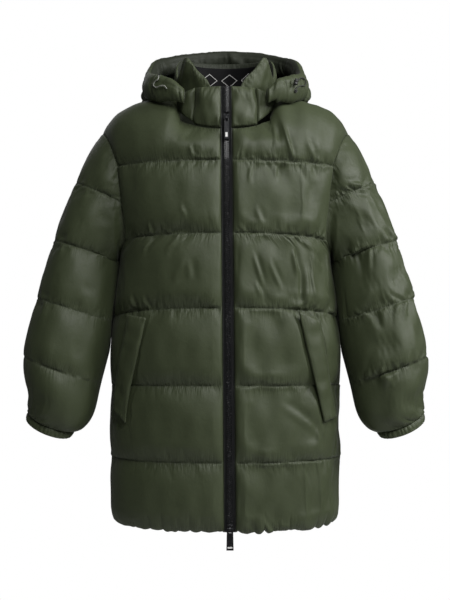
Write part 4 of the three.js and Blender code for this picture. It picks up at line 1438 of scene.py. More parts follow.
        cloth.held = cloth.held | ((mark < 1) & (yoke < 0.12))
        soften = np.clip(cloth.height / 0.004, 0, 1) * np.clip((from_inner - 0.12) / 0.15, 0, 1)
        soften = soften * mix(1.0, self.outline_share, ease((from_inner - 0.8) / 0.2))
        piece, outer = cloth.finish(wardrobe, self.relief, inflation, soften)
        lines = [outer[row] + self.turned(normals)[row] * STITCH_PROUD for row in stitched[1:]]
        return piece, lines

    def build_cuff(self, wardrobe: Wardrobe) -> Piece:
        """Makes the elastic cuff, which draws its cloth into ribs."""
        around = np.linspace(0, 1, 217)
        wrist = self.ring(len(self.rings) - 1, around)
        inner_x, inner_z, outer_x, outer_z = self.rings[-1][:4]
        axis = unit(np.array([inner_z - outer_z, 0.0, outer_x - inner_x]))
        down = np.linspace(0, 1, 13)
        depth = mix(SEAM_HALF + CLEAR, self.cuff_height, down)
        base = wrist[None] + axis * depth[:, None, None]
        normals = unit(wrist - wrist[:-1].mean(axis=0))
        normals = unit(normals - (normals @ axis)[:, None] * axis)[None] + 0 * base
        phase = self.ribs * around + 0.6 * noise_line(around * 18, 5)
        phase = phase[None] + 0.25 * np.sin(down * 3)[:, None] * noise_line(around * 30, 6)[None]
        ribs = np.abs(np.sin(math.pi * phase)) ** 0.8
        size = (0.75 + 0.35 * noise_line(around * 24 + 3, 9))[None]
        swell = np.sin(math.pi * np.clip(down * 1.04, 0, 1))[:, None]
        lift = self.rib_depth * (ribs * size) * (0.5 + 0.5 * swell) + self.cuff_swell * swell
        lift[:, -1] = lift[:, 0]
        outer = base + normals * (self.cuff_half_thick + lift)[..., None]
        inner = base - normals * (self.cuff_half_thick - 0.6 * lift)[..., None]
        outer[:, -1], inner[:, -1] = outer[:, 0], inner[:, 0]
        worn = (down[:, None] > 0.8) * 0.5 + 0 * lift
        word = side_word(self.side)
        outer, inner = self.turned(outer), self.turned(inner)
        piece = wall_object(f"ribbed_cuff_{word}", outer, inner, self.cuff_size, worn, closed=True)
        sew_on(piece, Slot.SHELL, f"cuff_{word}", wardrobe.shell, wardrobe.lining_painted_shade)
        return piece


# ---- collar


@dataclass(frozen=True)
class NeckRing:
    """The ring that the collar's pieces stand round."""

    half: float = 0.102
    middle: float = -0.020
    depth: float = 0.098

    def point(self, turn: Array, height: Array, pull: Array | float = 1.0) -> Array:
        """Points of the ring, by the angle from the front, their height and their pull inwards."""
        angle = np.radians(turn)
        x = -self.half * pull * np.sin(angle)
        y = self.middle - self.depth * pull * np.cos(angle)
        return np.stack([x, y, height + 0 * x], -1)


@dataclass(frozen=True)
class CollarShape:
    """The heights and pulls of the collar's rings."""

    top: float = 0.020
    seam: float = 38.0
    hood_front_end: float = 74.0
    inner: tuple = (  # angle, height and pull of the top, height and pull of the foot
        (20, 0.020, 0.84, -0.008, 0.80), (25, 0.036, 0.87, -0.008, 0.80),
        (38, 0.058, 0.93, -0.008, 0.80), (50, 0.083, 0.97, -0.008, 0.80),
        (56, 0.083, 0.98, -0.007, 0.81), (66, 0.064, 0.97, -0.004, 0.84),
        (78, 0.052, 0.96, 0.000, 0.90), (90, 0.056, 0.97, 0.004, 0.97),
        (102, 0.082, 1.00, 0.018, 1.00), (115, 0.099, 1.00, 0.029, 1.00),
        (180, 0.104, 1.00, 0.048, 1.00),
    )

    def inner_ring(self, turn: Array) -> Array:
        """Top height and pull, then foot height and pull, of the inner ring."""
        return read_table(self.inner, np.where(turn <= 180, turn, 360 - turn))

    def front_ring(self, turn: Array, form: BodyForm) -> Array:
        """The same for the front of the collar."""
        foot = form.neck_point(turn)[..., 2] + 2 * SEAM_HALF + CLEAR
        one = np.ones_like(turn)
        return np.stack([self.top * one, 0.935 * one, foot, one], -1)

    def side_ring(self, turn: Array, form: BodyForm) -> Array:
        """The same for the front of the hood, which wraps the side of the neck."""
        past = (turn - self.seam) / (self.hood_front_end - self.seam)
        foot = form.neck_point(turn)[..., 2] + mix(0.007, 0.026, past)
        one = np.ones_like(turn)
        return np.stack([mix(self.top, 0.004, past), 0.97 * one, foot, one], -1)


class RingKind(Enum):
    """Which of the collar's rings a piece stands on."""

    FRONT = "front"
    SIDE = "side"
    INNER = "inner"


@dataclass
class CollarPiece:
    """One padded piece of the collar, between two angles round the neck."""

    name: str
    node: str
    kind: RingKind
    start: float
    end: float
    puff: float
    columns: int
    side: int = -1
    rows: int = 40
    round_share: float = 0.5
    relief: Relief = Relief(Puckers(0.0034, 0.009, 0.022, everywhere=0.8, lines=(1.0, 1.0)), waves=0.0018,
                            wave_length=0.035)

    def ring(self, turn: Array, form: BodyForm) -> Array:
        """The piece's top and foot at each angle."""
        shape = CollarShape()
        if self.kind is RingKind.FRONT:
            return shape.front_ring(turn, form)
        if self.kind is RingKind.SIDE:
            return shape.side_ring(turn, form)
        return shape.inner_ring(turn)

    def build(self, wardrobe: Wardrobe, form: BodyForm) -> Piece:
        """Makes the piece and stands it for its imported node."""
        u, v = np.meshgrid(np.linspace(0, 1, self.columns), baffle_rows(self.rows, 1))
        turn = mix(self.start, self.end, u)
        top_z, top_pull, foot_z, foot_pull = np.moveaxis(self.ring(turn, form), -1, 0)
        base = NeckRing().point(turn, mix(top_z, foot_z, v), mix(top_pull, foot_pull, v))
        if self.side > 0:
            base[..., 0] *= -1
        normals = outward(base, np.array([0.0, NeckRing().middle, 0.0]))
        height = self.puff * domed(u, 1 / self.round_share) * domed(v, 1 / self.round_share)
        cloth = PaddedCloth(
            self.name, self.node, base, normals, height, height < FLAT, np.array([0, len(base) - 1])
        )
        piece, _ = cloth.finish(wardrobe, self.relief, None, np.clip(height / 0.003, 0, 1))
        return piece


def collar_pieces(form: BodyForm) -> list[CollarPiece]:
    """The collar's padded pieces."""
    shape = CollarShape()
    made = []
    for word, side in (("right", -1), ("left", 1)):
        width = form.tape_half - 0.0008 + side * form.lean(np.array(0.0))
        first = math.degrees(math.asin(width / NeckRing().half))
        made.append(CollarPiece(
            f"collar_front_{word}", f"collar_{word}", RingKind.FRONT, first, shape.seam, 0.011, 36, side
        ))
        made.append(CollarPiece(
            f"hood_cheek_{word}", f"hood_front_{word}", RingKind.SIDE, shape.seam + 0.5,
            shape.hood_front_end, 0.011, 44, side,
        ))
        made.append(CollarPiece(
            f"collar_point_{word}", f"collar_inner_{word}", RingKind.INNER, 20.0, 89.7, 0.006, 64, side
        ))
    made.append(CollarPiece(
        "collar_nape", "collar_back", RingKind.INNER, 90.0, 270.0, 0.006, 150, round_share=0.4
    ))
    return made


@dataclass
class NeckFacing:
    """The smooth black facing inside the back of the neck."""

    start: float = 118.0
    end: float = 242.0
    top: float = 0.092
    foot: float = 0.044
    pull: float = 0.9
    half_thick: float = 0.0008
    radius: float = 0.0895
    ripple: float = 0.0005

    def build(self, wardrobe: Wardrobe) -> Piece:
        """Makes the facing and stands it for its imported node."""
        turns, heights = np.linspace(self.start, self.end, 60), np.linspace(self.top, self.foot, 16)
        turn, height = np.meshgrid(turns, heights)
        base = NeckRing().point(turn, height, self.pull)
        normals = -outward(base, np.array([0.0, NeckRing().middle, 0.0]))
        wave = self.ripple * np.sin(turn / 5)[..., None] * normals
        width = math.radians(self.end - self.start) * self.radius
        size = (width, self.top - self.foot)
        outer, inner = base + normals * self.half_thick + wave, base - normals * self.half_thick + wave
        piece = wall_object("black_neck_facing", outer, inner, size)
        sew_on(piece, Slot.FACING, "neck_facing", wardrobe.facing, wardrobe.tape)
        return piece


# ---- hood


def smooth_curve(points: Array, at: Array) -> Array:
    """Points of a centripetal spline through a list of points or of whole rows of them.

    Args:
        points: what the spline passes through, in order.
        at: places on it, counted in its points.
    """
    last = len(points) - 1
    padded = np.concatenate([2 * points[:1] - points[1:2], points, 2 * points[-1:] - points[-2:-1]])
    at = np.clip(np.asarray(at, dtype=float), 0, last)
    i = np.minimum(at.astype(int), last - 1)
    t = (at - i).reshape((-1,) + (1,) * (points.ndim - 1))
    p0, p1, p2, p3 = (padded[i + k] for k in range(4))
    d0, d1, d2 = (
        np.maximum(np.linalg.norm(b - a, axis=-1, keepdims=True), 1e-9) ** 0.5
        for a, b in ((p0, p1), (p1, p2), (p2, p3))
    )
    m1 = ((p1 - p0) / d0 - (p2 - p0) / (d0 + d1) + (p2 - p1) / d1) * d1
    m2 = ((p2 - p1) / d1 - (p3 - p1) / (d1 + d2) + (p3 - p2) / d2) * d1
    c2, c3 = -3 * p1 + 3 * p2 - 2 * m1 - m2, 2 * p1 - 2 * p2 + m1 + m2
    return p1 + t * (m1 + t * (c2 + t * c3))


@dataclass
class Hood:
    """The hood that hangs behind, in three padded panels."""

    puff: float = 0.009
    bands: float = 4.5
    profiles: tuple = (  # from the middle of the back, each from the rim down and back up to the neck
        ((0, .134, .107), (0, .172, .084), (0, .203, .012), (0, .194, -.078), (0, .163, -.136),
         (0, .150, -.072), (0, .121, .010), (0, .106, .040)),
        ((-.073, .122, .101), (-.084, .162, .072), (-.094, .188, .006), (-.088, .181, -.070),
         (-.076, .160, -.118), (-.070, .148, -.062), (-.062, .118, .008), (-.056, .098, .038)),
        ((-.137, .087, .084), (-.146, .118, .050), (-.152, .146, .004), (-.142, .154, -.038),
         (-.124, .152, -.060), (-.110, .138, -.028), (-.098, .104, .014), (-.086, .070, .038)),
        ((-.162, .042, .058), (-.168, .056, .034), (-.168, .078, .024), (-.156, .090, .016),
         (-.142, .092, .010), (-.130, .078, .020), (-.118, .052, .034), (-.108, .026, .044)),
        ((-.156, -.004, .014), (-.161, .002, .013), (-.154, .004, .019), (-.144, .002, .021),
         (-.131, .000, .022), (-.120, -.003, .026), (-.112, -.006, .032), (-.107, -.010, .038)),
    )
    relief: Relief = Relief(Puckers(0.0034, 0.009, 0.024, everywhere=0.8, lines=(1.0,)), waves=0.0018,
                            wave_length=0.05)

    def surface(self, across: Array, down: Array) -> Array:
        """Points of the hood: across counts profiles from the middle, down the points of a profile."""
        right = np.array(self.profiles)
        both = np.concatenate([right[::-1], right[1:] * np.array([-1.0, 1.0, 1.0])])
        rows = smooth_curve(np.moveaxis(both, 1, 0), down)
        return np.moveaxis(smooth_curve(np.moveaxis(rows, 1, 0), across + len(right) - 1), 0, 1)

    def panel(self, word: str, start: float, end: float, columns: int, wardrobe: Wardrobe) -> Piece:
        """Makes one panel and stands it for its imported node."""
        last = len(self.profiles[0]) - 1
        share = np.linspace(0, 1, 91)
        base = self.surface(np.linspace(start, end, columns), share * last)
        u, v = np.meshgrid(np.linspace(0, 1, columns), share)
        hanging = (share < 0.5)[:, None, None]  # the half that hangs outside
        normals = facing(grid_normals(base), (base - np.array([0.0, 0.12, -0.04])) * hanging)
        edge, quilt = domed(u, abs(end - start) * 1.6), domed((v * self.bands) % 1, 2)
        height = self.puff * edge * quilt * domed(v, 7)
        lines = np.round(np.arange(1, int(self.bands) + 1) / self.bands * 90).astype(int)
        stitched = np.array([0, *lines, 90])
        cloth = PaddedCloth(
            f"hood_panel_{word}", f"hood_{word}", base, normals, height, height < FLAT, stitched,
            inner_share=0.5,
        )
        piece, _ = cloth.finish(wardrobe, self.relief, None, np.clip(height / 0.003, 0, 1))
        return piece

    def build(self, wardrobe: Wardrobe) -> None:
        """Makes the three panels."""
        span = len(self.profiles) - 1
        self.panel("right", -span, -1.01, 80, wardrobe)
        self.panel("centre", -1.0, 1.0, 64, wardrobe)
        self.panel("left", 1.01, span, 80, wardrobe)


@dataclass
class HoodRim:
    """The gathered edge of the hood, a padded tube with a casing for the drawcord."""

    stations: tuple = (  # x, y, z, height and thickness, from the collar to the middle of the back
        (-.084, -.108, .002, .030, .020), (-.106, -.101, .014, .046, .024),
        (-.133, -.082, .021, .057, .026), (-.152, -.048, .031, .055, .026),
        (-.155, -.008, .048, .052, .026), (-.147, .032, .078, .048, .026),
        (-.124, .074, .098, .040, .026), (-.070, .106, .114, .040, .026),
        (.000, .118, .121, .040, .026),
    )
    rings: int = 330
    sides: int = 44
    gather: float = 0.0058
    spacing: float = 0.0075
    casing: float = 0.0014
    inward_painted_shade: float = 0.15  # how far in a face must look before it takes the darker lining as painted shade

    def tube(self) -> Array:
        """Rings of the rim with its gathers."""
        half = np.array(self.stations)
        path = np.concatenate([half, half[-2::-1] * np.array([-1.0, 1, 1, 1, 1])])
        share = np.linspace(0, 1, self.rings)
        at = share * (len(path) - 1)
        middle = smooth_curve(path[:, :3], at)
        size = np.stack([np.interp(at, np.arange(len(path)), path[:, k]) for k in (3, 4)], -1) / 2
        tangent = unit(np.gradient(middle, axis=0))
        across = unit(np.cross(tangent, np.array([0.0, 0.0, 1.0])))
        angle = np.linspace(0, TURN, self.sides, endpoint=False)
        run, turn = distances(middle)[:, None], angle[None]
        ends = ease(np.minimum(share, 1 - share) / 0.02)[:, None]
        lift = self.gathers(run, turn) * ends
        wide = size[:, 1:2] * np.cos(turn) + lift * np.cos(turn)
        tall = size[:, :1] * np.sin(turn) + lift * np.sin(turn)
        return middle[:, None] + across[:, None] * wide[..., None] + np.array([0, 0, 1.0]) * tall[..., None]

    def gathers(self, run: Array, turn: Array) -> Array:
        """How far the gathers and the casing's seam move the cloth, along the rim and round it."""
        slant = run + 0.004 * np.sin(turn * 2 + 3 * noise_line(run / 0.02, 12))
        fine = noise_line(slant / self.spacing, 31)
        coarse = noise_line(slant / (2.6 * self.spacing) + 0.8 * np.sin(turn), 32)
        ridge = 1 - 2.2 * np.abs(noise_line(slant / (1.7 * self.spacing) + 0.4 * np.cos(turn), 33))
        mask = 0.6 + 0.4 * np.cos(turn * 2 + 2 * noise_line(run / 0.05, 34))
        lumps = 0.5 * fine + 0.7 * coarse + 0.5 * np.maximum(ridge, -0.5)
        seam = np.exp(-(((np.sin(turn) - 0.45) / 0.09) ** 2))
        kept = 0.7 - 0.3 * np.maximum(np.sin(turn), 0)
        return self.gather * lumps * mask * kept - 0.0004 - self.casing * seam

    def build(self, wardrobe: Wardrobe) -> Piece:
        """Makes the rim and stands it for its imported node."""
        piece = tube_object("gathered_hood_rim", self.tube(), (0.9, 0.13))
        sew_on(piece, Slot.SHELL, "hood_rim", wardrobe.shell, wardrobe.lining_painted_shade)
        # Front faces that look in toward the hood take the darker lining: painted shade on the rim's inside.
        for face in piece.data.polygons:
            inward = -Vector((face.center.x, face.center.y)).normalized()
            if face.center.y > -0.04 and inward.dot(Vector(face.normal.xy)) > self.inward_painted_shade:
                face.material_index = 1
        return piece


# ---- zip


@dataclass
class Zip:
    """The two-way zip: woven tapes with piped edges, moulded teeth, sliders and their pulls."""

    form: BodyForm
    tape_half: float = 0.0142  # as far as it reaches under the front's edge
    bead_start: float = 0.0096
    bead_end: float = 0.0111
    tape_thick: float = 0.0012
    gap: float = CLEAR
    pitch: float = 0.0037
    tooth: tuple[float, float, float] = (0.0062, 0.0026, 0.0024)
    chain_half: float = 0.0054
    tooth_out: float = 0.0021  # how far a tooth's middle is to one side of the chain's
    bead_height: float = 0.0009
    tuck: float = 0.0024  # how far the tape's outer edge goes in under the front
    top_slider_z: float = -0.046
    bottom_slider_z: float = -0.853

    def line(self) -> tuple[Array, Array, Array]:
        """The zip's middle line, its outward directions and its length so far."""
        neck = NeckRing()
        v = np.linspace(0, 0.95, 12)
        foot = self.form.neck_line[0][1]
        y = neck.middle - neck.depth * mix(0.935, 1, v)
        collar = np.stack([0 * v, y, mix(CollarShape().top, foot, v)], -1)
        body = self.form.panel(False, np.zeros(150), np.linspace(0, 6, 150), -1)
        line = np.concatenate([collar, body])
        line[:, 0] = self.form.lean(line[:, 2])
        tangent = unit(np.gradient(line, axis=0))
        out = unit(np.stack([0 * tangent[:, 0], tangent[:, 2], -tangent[:, 1]], -1))
        out = np.where(out[:, 1:2] > 0, -out, out)
        return line, out, distances(line)

    def build_tape(self, side: int, wardrobe: Wardrobe) -> Piece:
        """Makes one tape, with the piping along its edge."""
        line, out, run = self.line()
        flat_part = np.array([self.gap / 2, 0.003, 0.0055, 0.0075, 0.0090])
        bead_part = np.linspace(self.bead_start, self.bead_end, 7)
        across = np.concatenate([flat_part, bead_part, [self.bead_end + 0.0002, self.tape_half]])
        bead = np.clip((across - self.bead_start) / (self.bead_end - self.bead_start), 0, 1)
        lift = self.bead_height * np.sqrt(np.clip(1 - (2 * bead - 1) ** 2, 0, 1)) * (bead > 0)
        tucked = np.where(across > self.bead_end, self.tuck, 0.0)
        base = line[:, None] + ACROSS * side * across[:, None]
        base = base - out[:, None] * tucked[None, :, None]
        half = self.tape_thick / 2
        outer = base + out[:, None] * (half + lift)[None, :, None]
        inner = base - out[:, None] * half
        size = (self.tape_half, float(run[-1]))
        word = side_word(side)
        # The bead's crest is rubbed lighter: partly wear, partly a painted highlight.
        worn = np.tile((bead > 0.3) * 0.35, (len(line), 1))
        piece = wall_object(f"piped_tape_{word}", outer, inner, size, worn)
        sew_on(piece, Slot.TAPE, f"zip_tape_{word}", wardrobe.tape, wardrobe.tape, wardrobe.piping)
        for face in piece.data.polygons:
            if abs(face.center.x - float(self.form.lean(np.array(face.center.z)))) > self.bead_start:
                face.material_index = 2
        return piece

    def build_teeth(self, wardrobe: Wardrobe) -> Piece:
        """Makes the chain: interlocked teeth between the sliders and a plain flap above them."""
        line, out, run = self.line()
        shape = bmesh.new()
        start = float(np.interp(-self.top_slider_z + 0.004, -line[:, 2], run))
        end = float(np.interp(-self.bottom_slider_z, -line[:, 2], run))
        long, tall, deep = self.tooth
        for number in range(int((end - start) / (self.pitch / 2))):
            side = 1 if number % 2 else -1
            at = start + number * self.pitch / 2
            middle, away = point_at(line, run, at), unit(point_at(out, run, at))
            down = np.cross(away, ACROSS)
            middle = middle + away * (self.tape_thick / 2 + deep / 2) + side * self.tooth_out * ACROSS
            frame_of = Matrix((
                (long, 0, 0, middle[0]),
                (0, deep * away[1], tall * down[1], middle[1]),
                (0, deep * away[2], tall * down[2], middle[2]),
                (0, 0, 0, 1),
            ))
            bmesh.ops.create_cube(shape, size=1, matrix=frame_of)
        bevel_edges(shape, shape.edges[:], 0.0005)
        above = line[:, 2] > self.top_slider_z + 0.008
        flap = line[above][:, None] + ACROSS * np.linspace(-1, 1, 9)[:, None] * self.chain_half
        crown = 0.0008 * np.cos(np.linspace(-1, 1, 9) * math.pi / 2)
        lift = self.tape_thick / 2 + 0.0006
        face = flap + out[above][:, None] * (lift + 0.0012 + crown)[None, :, None]
        back = flap + out[above][:, None] * lift
        add_wall(shape, face, back)
        bmesh.ops.recalc_face_normals(shape, faces=shape.faces[:])
        piece = finish_mesh("zip_teeth", shape, smooth=False)
        return sew_on(piece, Slot.TEETH, "zip_chain", wardrobe.teeth)


@dataclass
class ZipSlider:
    """A slider with its bridge and its hanging pull, which swings on the bridge."""

    word: str
    place: tuple[float, float, float]
    length: float
    width: float
    lean: float
    bar: tuple[float, float]
    body_size: tuple[float, float, float] = (0.011, 0.004, 0.015)
    bridge: tuple[float, float, float] = (0.0022, 0.0038, 0.0034)
    axis_out: float = 0.002
    thick: float = 0.002
    above: float = 0.00125
    slot_size: tuple[float, float] = (0.0054, 0.0064)

    @property
    def axis(self) -> tuple[float, float, float]:
        """The middle of the pull's hinge."""
        x, face, z = self.place
        return x, face - self.body_size[1] - self.axis_out, z

    def build(self, wardrobe: Wardrobe) -> None:
        """Makes the slider, the bridge and the pull."""
        self.build_body(wardrobe)
        self.build_bridge(wardrobe)
        self.build_pull(wardrobe)

    def build_body(self, wardrobe: Wardrobe) -> Piece:
        """Makes the slider's two plates with the channel between them."""
        x, face, z = self.place
        wide, deep, tall = self.body_size
        shape = bmesh.new()
        for low, high in ((0.0, 0.36), (0.64, 1.0)):
            middle = (x, face - deep * (low + high) / 2, z)
            for vert in add_box(shape, middle, (wide, deep * (high - low), tall)):
                if vert.co.z < z:
                    vert.co.x = x + (vert.co.x - x) * 0.78
        neck = (x, face - deep / 2, z + tall * 0.22)
        add_box(shape, neck, (wide * 0.34, deep * 0.4, tall * 0.5))
        bevel_edges(shape, shape.edges[:], 0.0006, 2)
        piece = finish_mesh(f"slider_{self.word}", shape, smooth=False)
        return sew_on(piece, Slot.METAL, f"zip_slider_{self.word}", wardrobe.metal)

    def build_bridge(self, wardrobe: Wardrobe) -> Piece:
        """Makes the bridge, a strip bent over the hinge."""
        x, y, z = self.axis
        inner, outer, wide = self.bridge
        foot = y + self.axis_out - CLEAR
        shape = bmesh.new()
        corners = [(x + dx, foot, z + dz) for dx, dz in (
            (-wide / 2, inner), (wide / 2, inner), (wide / 2, outer), (-wide / 2, outer)
        )]
        face = shape.faces.new([shape.verts.new(corner) for corner in corners])
        grown = bmesh.ops.extrude_face_region(shape, geom=[face])
        moved = [g for g in grown["geom"] if isinstance(g, bmesh.types.BMVert)]
        bmesh.ops.translate(shape, verts=moved, vec=(0, y - foot, 0))
        turning = [g for g in grown["geom"] if isinstance(g, bmesh.types.BMFace)]
        bent = bmesh.ops.spin(
            shape, geom=turning, cent=(x, y, z), axis=(1, 0, 0), angle=math.pi, steps=10, use_merge=False
        )
        last = [g for g in bent["geom_last"] if isinstance(g, bmesh.types.BMFace)]
        end = bmesh.ops.extrude_face_region(shape, geom=last)
        bmesh.ops.translate(
            shape, verts=[g for g in end["geom"] if isinstance(g, bmesh.types.BMVert)], vec=(0, foot - y, 0)
        )
        inside = [f for f in turning + last if f.is_valid]
        bmesh.ops.delete(shape, geom=inside, context="FACES_ONLY")
        bmesh.ops.remove_doubles(shape, verts=shape.verts[:], dist=FLAT)
        bmesh.ops.recalc_face_normals(shape, faces=shape.faces[:])
        bevel_edges(shape, sharp_edges(shape, 1.2), 0.0003)
        piece = finish_mesh(f"bridge_{self.word}", shape, smooth=False)
        return sew_on(piece, Slot.METAL, f"zip_bail_{self.word}", wardrobe.metal)

    def build_pull(self, wardrobe: Wardrobe) -> Piece:
        """Makes the pull, with its slot and a plain white bar let into its lower end."""
        x, y, z = self.axis
        slot_wide, slot_tall = self.slot_size
        top, foot = self.above, self.above - self.length
        shape = bmesh.new()
        add_box(shape, (0, 0, (top + foot) / 2), (self.width, self.thick, top - foot))
        for place, direction in (
            ((-slot_wide / 2, 0, 0), (1, 0, 0)), ((slot_wide / 2, 0, 0), (1, 0, 0)),
            ((0, 0, -self.above), (0, 0, 1)), ((0, 0, -self.above - slot_tall), (0, 0, 1)),
        ):
            whole = shape.verts[:] + shape.edges[:] + shape.faces[:]
            bmesh.ops.bisect_plane(shape, geom=whole, plane_co=place, plane_no=direction)
        hole = [f for f in shape.faces if abs(f.normal.y) > 0.9 and self.in_slot(f.calc_center_median())]
        rims = [e for f in hole for e in f.edges]
        bmesh.ops.delete(shape, geom=hole, context="FACES_ONLY")
        bmesh.ops.bridge_loops(shape, edges=[e for e in rims if e.is_valid and e.is_boundary])
        for vert in shape.verts:
            share = (vert.co.z - foot) / (top - foot)
            if abs(vert.co.x) > slot_wide / 2 + 1e-5:
                vert.co.x *= 1 - 0.12 * share
        bmesh.ops.recalc_face_normals(shape, faces=shape.faces[:])
        bevel_edges(shape, sharp_edges(shape, 0.6), 0.0004, 2)
        bar_wide, bar_tall = self.bar
        middle = (0, -self.thick / 2 - 0.00005, foot + 0.004 + bar_tall / 2)
        corners = add_box(shape, middle, (bar_wide, 0.0004, bar_tall))
        for face in {f for v in corners for f in v.link_faces}:
            face.material_index = 1
        turn = Matrix.Translation((x, y, z)) @ Matrix.Rotation(-math.radians(self.lean), 4, "X")
        bmesh.ops.transform(shape, matrix=turn, verts=shape.verts[:])
        piece = finish_mesh(f"pull_tab_{self.word}", shape, smooth=False)
        finishes, body = (wardrobe.metal, wardrobe.enamel), f"pull_{self.word}"
        return sew_on(piece, Slot.METAL, f"zip_pull_{self.word}", *finishes, body=body)

    def in_slot(self, place: Vector) -> bool:
        """Whether a place on the pull lies over its slot."""
        wide, tall = self.slot_size
        return abs(place.x) < wide / 2 and -self.above - tall < place.z < -self.above


# ---- pockets


@dataclass
class PocketWelt:
    """A slanted welt over a pocket's opening."""

    plan: WeltPlan
    form: BodyForm
    padding: Padding
    rows: int = 60
    columns: int = 15

    def on_front(self, x: Array, z: Array) -> Array:
        """Points over the front at places seen from the front."""
        form = self.form
        turn = form.turn_at_width(np.abs(x), z)
        points = form.point(turn, z)
        half, front, _ = form.section(z)
        power = form.squareness - 1
        slope_x = -((np.abs(points[..., 0]) / half) ** power) / half
        slope_y = -((np.abs(points[..., 1]) / front) ** power) / front
        slope = unit(np.stack([slope_x, slope_y, 0 * slope_x], -1))
        share = np.clip(turn / 90 - 0.55, 0, 1) / 0.45
        out = mix(self.padding.middle, self.padding.side, share) + self.plan.stand
        points = points + slope * out[..., None]
        points[..., 0] = np.where(x < 0, points[..., 0], -points[..., 0])
        return points

    def build(self, wardrobe: Wardrobe) -> tuple[Piece, list[Array]]:
        """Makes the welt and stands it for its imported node.

        Returns:
            The welt, and the lines its stitches follow.
        """
        v = np.linspace(0, 1, self.rows)
        inner, outer = self.plan.edges(v)
        u = np.linspace(0, 1, self.columns)
        flat = mix(inner[:, None], outer[:, None], u[:, None])
        base = self.on_front(flat[..., 0], flat[..., 1])
        normals = outward(base, np.array([0.0, 0.0, -0.5]))
        across, down = np.meshgrid(u, v)
        height = self.plan.crown * domed(across, 3) * domed(down, 10)
        word = side_word(self.plan.side)
        cloth = PaddedCloth(
            f"welt_{word}", f"pocket_welt_{word}", base, normals, height, height < FLAT,
            np.array([0, len(v) - 1]), inner_share=0.2, fill=0.4,
        )
        relief = Relief(Puckers(0.0018, 0.010, 0.03, everywhere=0.8, lines=(1.0, 1.0), seed=8), waves=0.0010,
                        wave_length=0.03, seed=9)
        piece, skin = cloth.finish(wardrobe, relief, None, np.clip(height / 0.0015, 0, 1))
        return piece, [(skin + normals * STITCH_PROUD)[2:-2, column] for column in (2, -3)]


# ---- cords


@dataclass
class Drawcord:
    """One end of the hood's drawcord, out of one eyelet and back into the casing."""

    word: str
    route: tuple[tuple[float, float, float], ...]
    length: float
    radius: float = 0.00125

    def centreline(self, count: int) -> Array:
        """Evenly spaced points of the cord."""
        knots = np.array(self.route)
        fine = smooth_curve(knots, np.linspace(0, len(knots) - 1, 400))
        shares = even_shares(fine, count)
        return smooth_curve(knots, shares * (len(knots) - 1))

    def build(self, wardrobe: Wardrobe, finish: Material) -> Piece:
        """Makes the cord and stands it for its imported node."""
        path = self.centreline(64)
        tangent = unit(np.gradient(path, axis=0))
        side = unit(np.cross(tangent, np.array([0.3, 1.0, 0.2])))
        over = np.cross(tangent, side)
        angle = np.linspace(0, TURN, 12, endpoint=False)[None, :, None]
        rings = path[:, None] + self.radius * (side[:, None] * np.cos(angle) + over[:, None] * np.sin(angle))
        piece = tube_object(f"cord_{self.word}", rings, (self.length, TURN * self.radius))
        sew_on(piece, Slot.CORD, f"drawcord_{self.word}", finish)
        return piece


@dataclass
class Eyelet:
    """A small black ring where a cord leaves its casing."""

    name: str
    place: tuple[float, float, float]
    facing: tuple[float, float, float]
    radius: float = 0.0030
    wire: float = 0.0009

    def build(self, wardrobe: Wardrobe) -> Piece:
        """Makes the ring."""
        shape = bmesh.new()
        section = bmesh.ops.create_circle(
            shape, segments=8, radius=self.wire,
            matrix=Matrix.Translation((self.radius, 0, 0)) @ Matrix.Rotation(math.pi / 2, 4, "X"),
        )
        edges = list(dict.fromkeys(e for v in section["verts"] for e in v.link_edges))
        place = Matrix.Translation(self.place) @ turn_to(self.facing, "Z", "Y")
        piece = spun_object(self.name, shape, section["verts"] + edges, 20, place)
        return sew_on(piece, Slot.PLASTIC, None, wardrobe.plastic)


@dataclass
class CordLock:
    """The barrel that holds the cord, with its sprung button."""

    place: tuple[float, float, float] = (0.141, -0.101, 0.031)
    turn: float = 12.0
    radius: float = 0.0044
    half: float = 0.0065

    def build(self, wardrobe: Wardrobe) -> Piece:
        """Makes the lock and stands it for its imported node."""
        shape = bmesh.new()
        profile = (
            (0.0, -1.0), (0.72, -1.0), (0.95, -0.82), (1.0, -0.5), (0.94, -0.42), (0.94, 0.1), (1.0, 0.18),
            (1.0, 0.42), (0.9, 0.5), (0.66, 0.54), (0.66, 0.9), (0.56, 1.0), (0.0, 1.0),
        )
        points = [shape.verts.new((self.radius * r, 0, self.half * h)) for r, h in profile]
        edges = [shape.edges.new(pair) for pair in zip(points, points[1:])]
        place = Matrix.Translation(self.place) @ Matrix.Rotation(math.radians(self.turn), 4, "Y")
        piece = spun_object("barrel_lock", shape, points + edges, 24, place)
        return sew_on(piece, Slot.PLASTIC, "cord_lock", wardrobe.plastic)


# ---- stitches


@dataclass
class Stitching:
    """Short thread stitches along lines of cloth, joined in one piece."""

    name: str
    pitch: float = 0.0045
    stitch: tuple[float, float, float] = (0.0016, 0.00038, 0.00030)

    def build(self, lines: list[Array], wardrobe: Wardrobe) -> Piece:
        """Makes the stitches along every line."""
        shape = bmesh.new()
        for line in lines:
            run = distances(line)
            for at in np.arange(self.pitch, run[-1] - self.pitch, self.pitch):
                here, ahead = point_at(line, run, at), point_at(line, run, at + 0.001)
                turn = turn_to(ahead - here, "X", "Z")
                place = Matrix.Translation(here) @ turn @ Matrix.Diagonal((*self.stitch, 1))
                bmesh.ops.create_icosphere(shape, subdivisions=1, radius=1, matrix=place)
        return sew_on(finish_mesh(self.name, shape), Slot.SHELL, None, wardrobe.thread)


# ---- studio


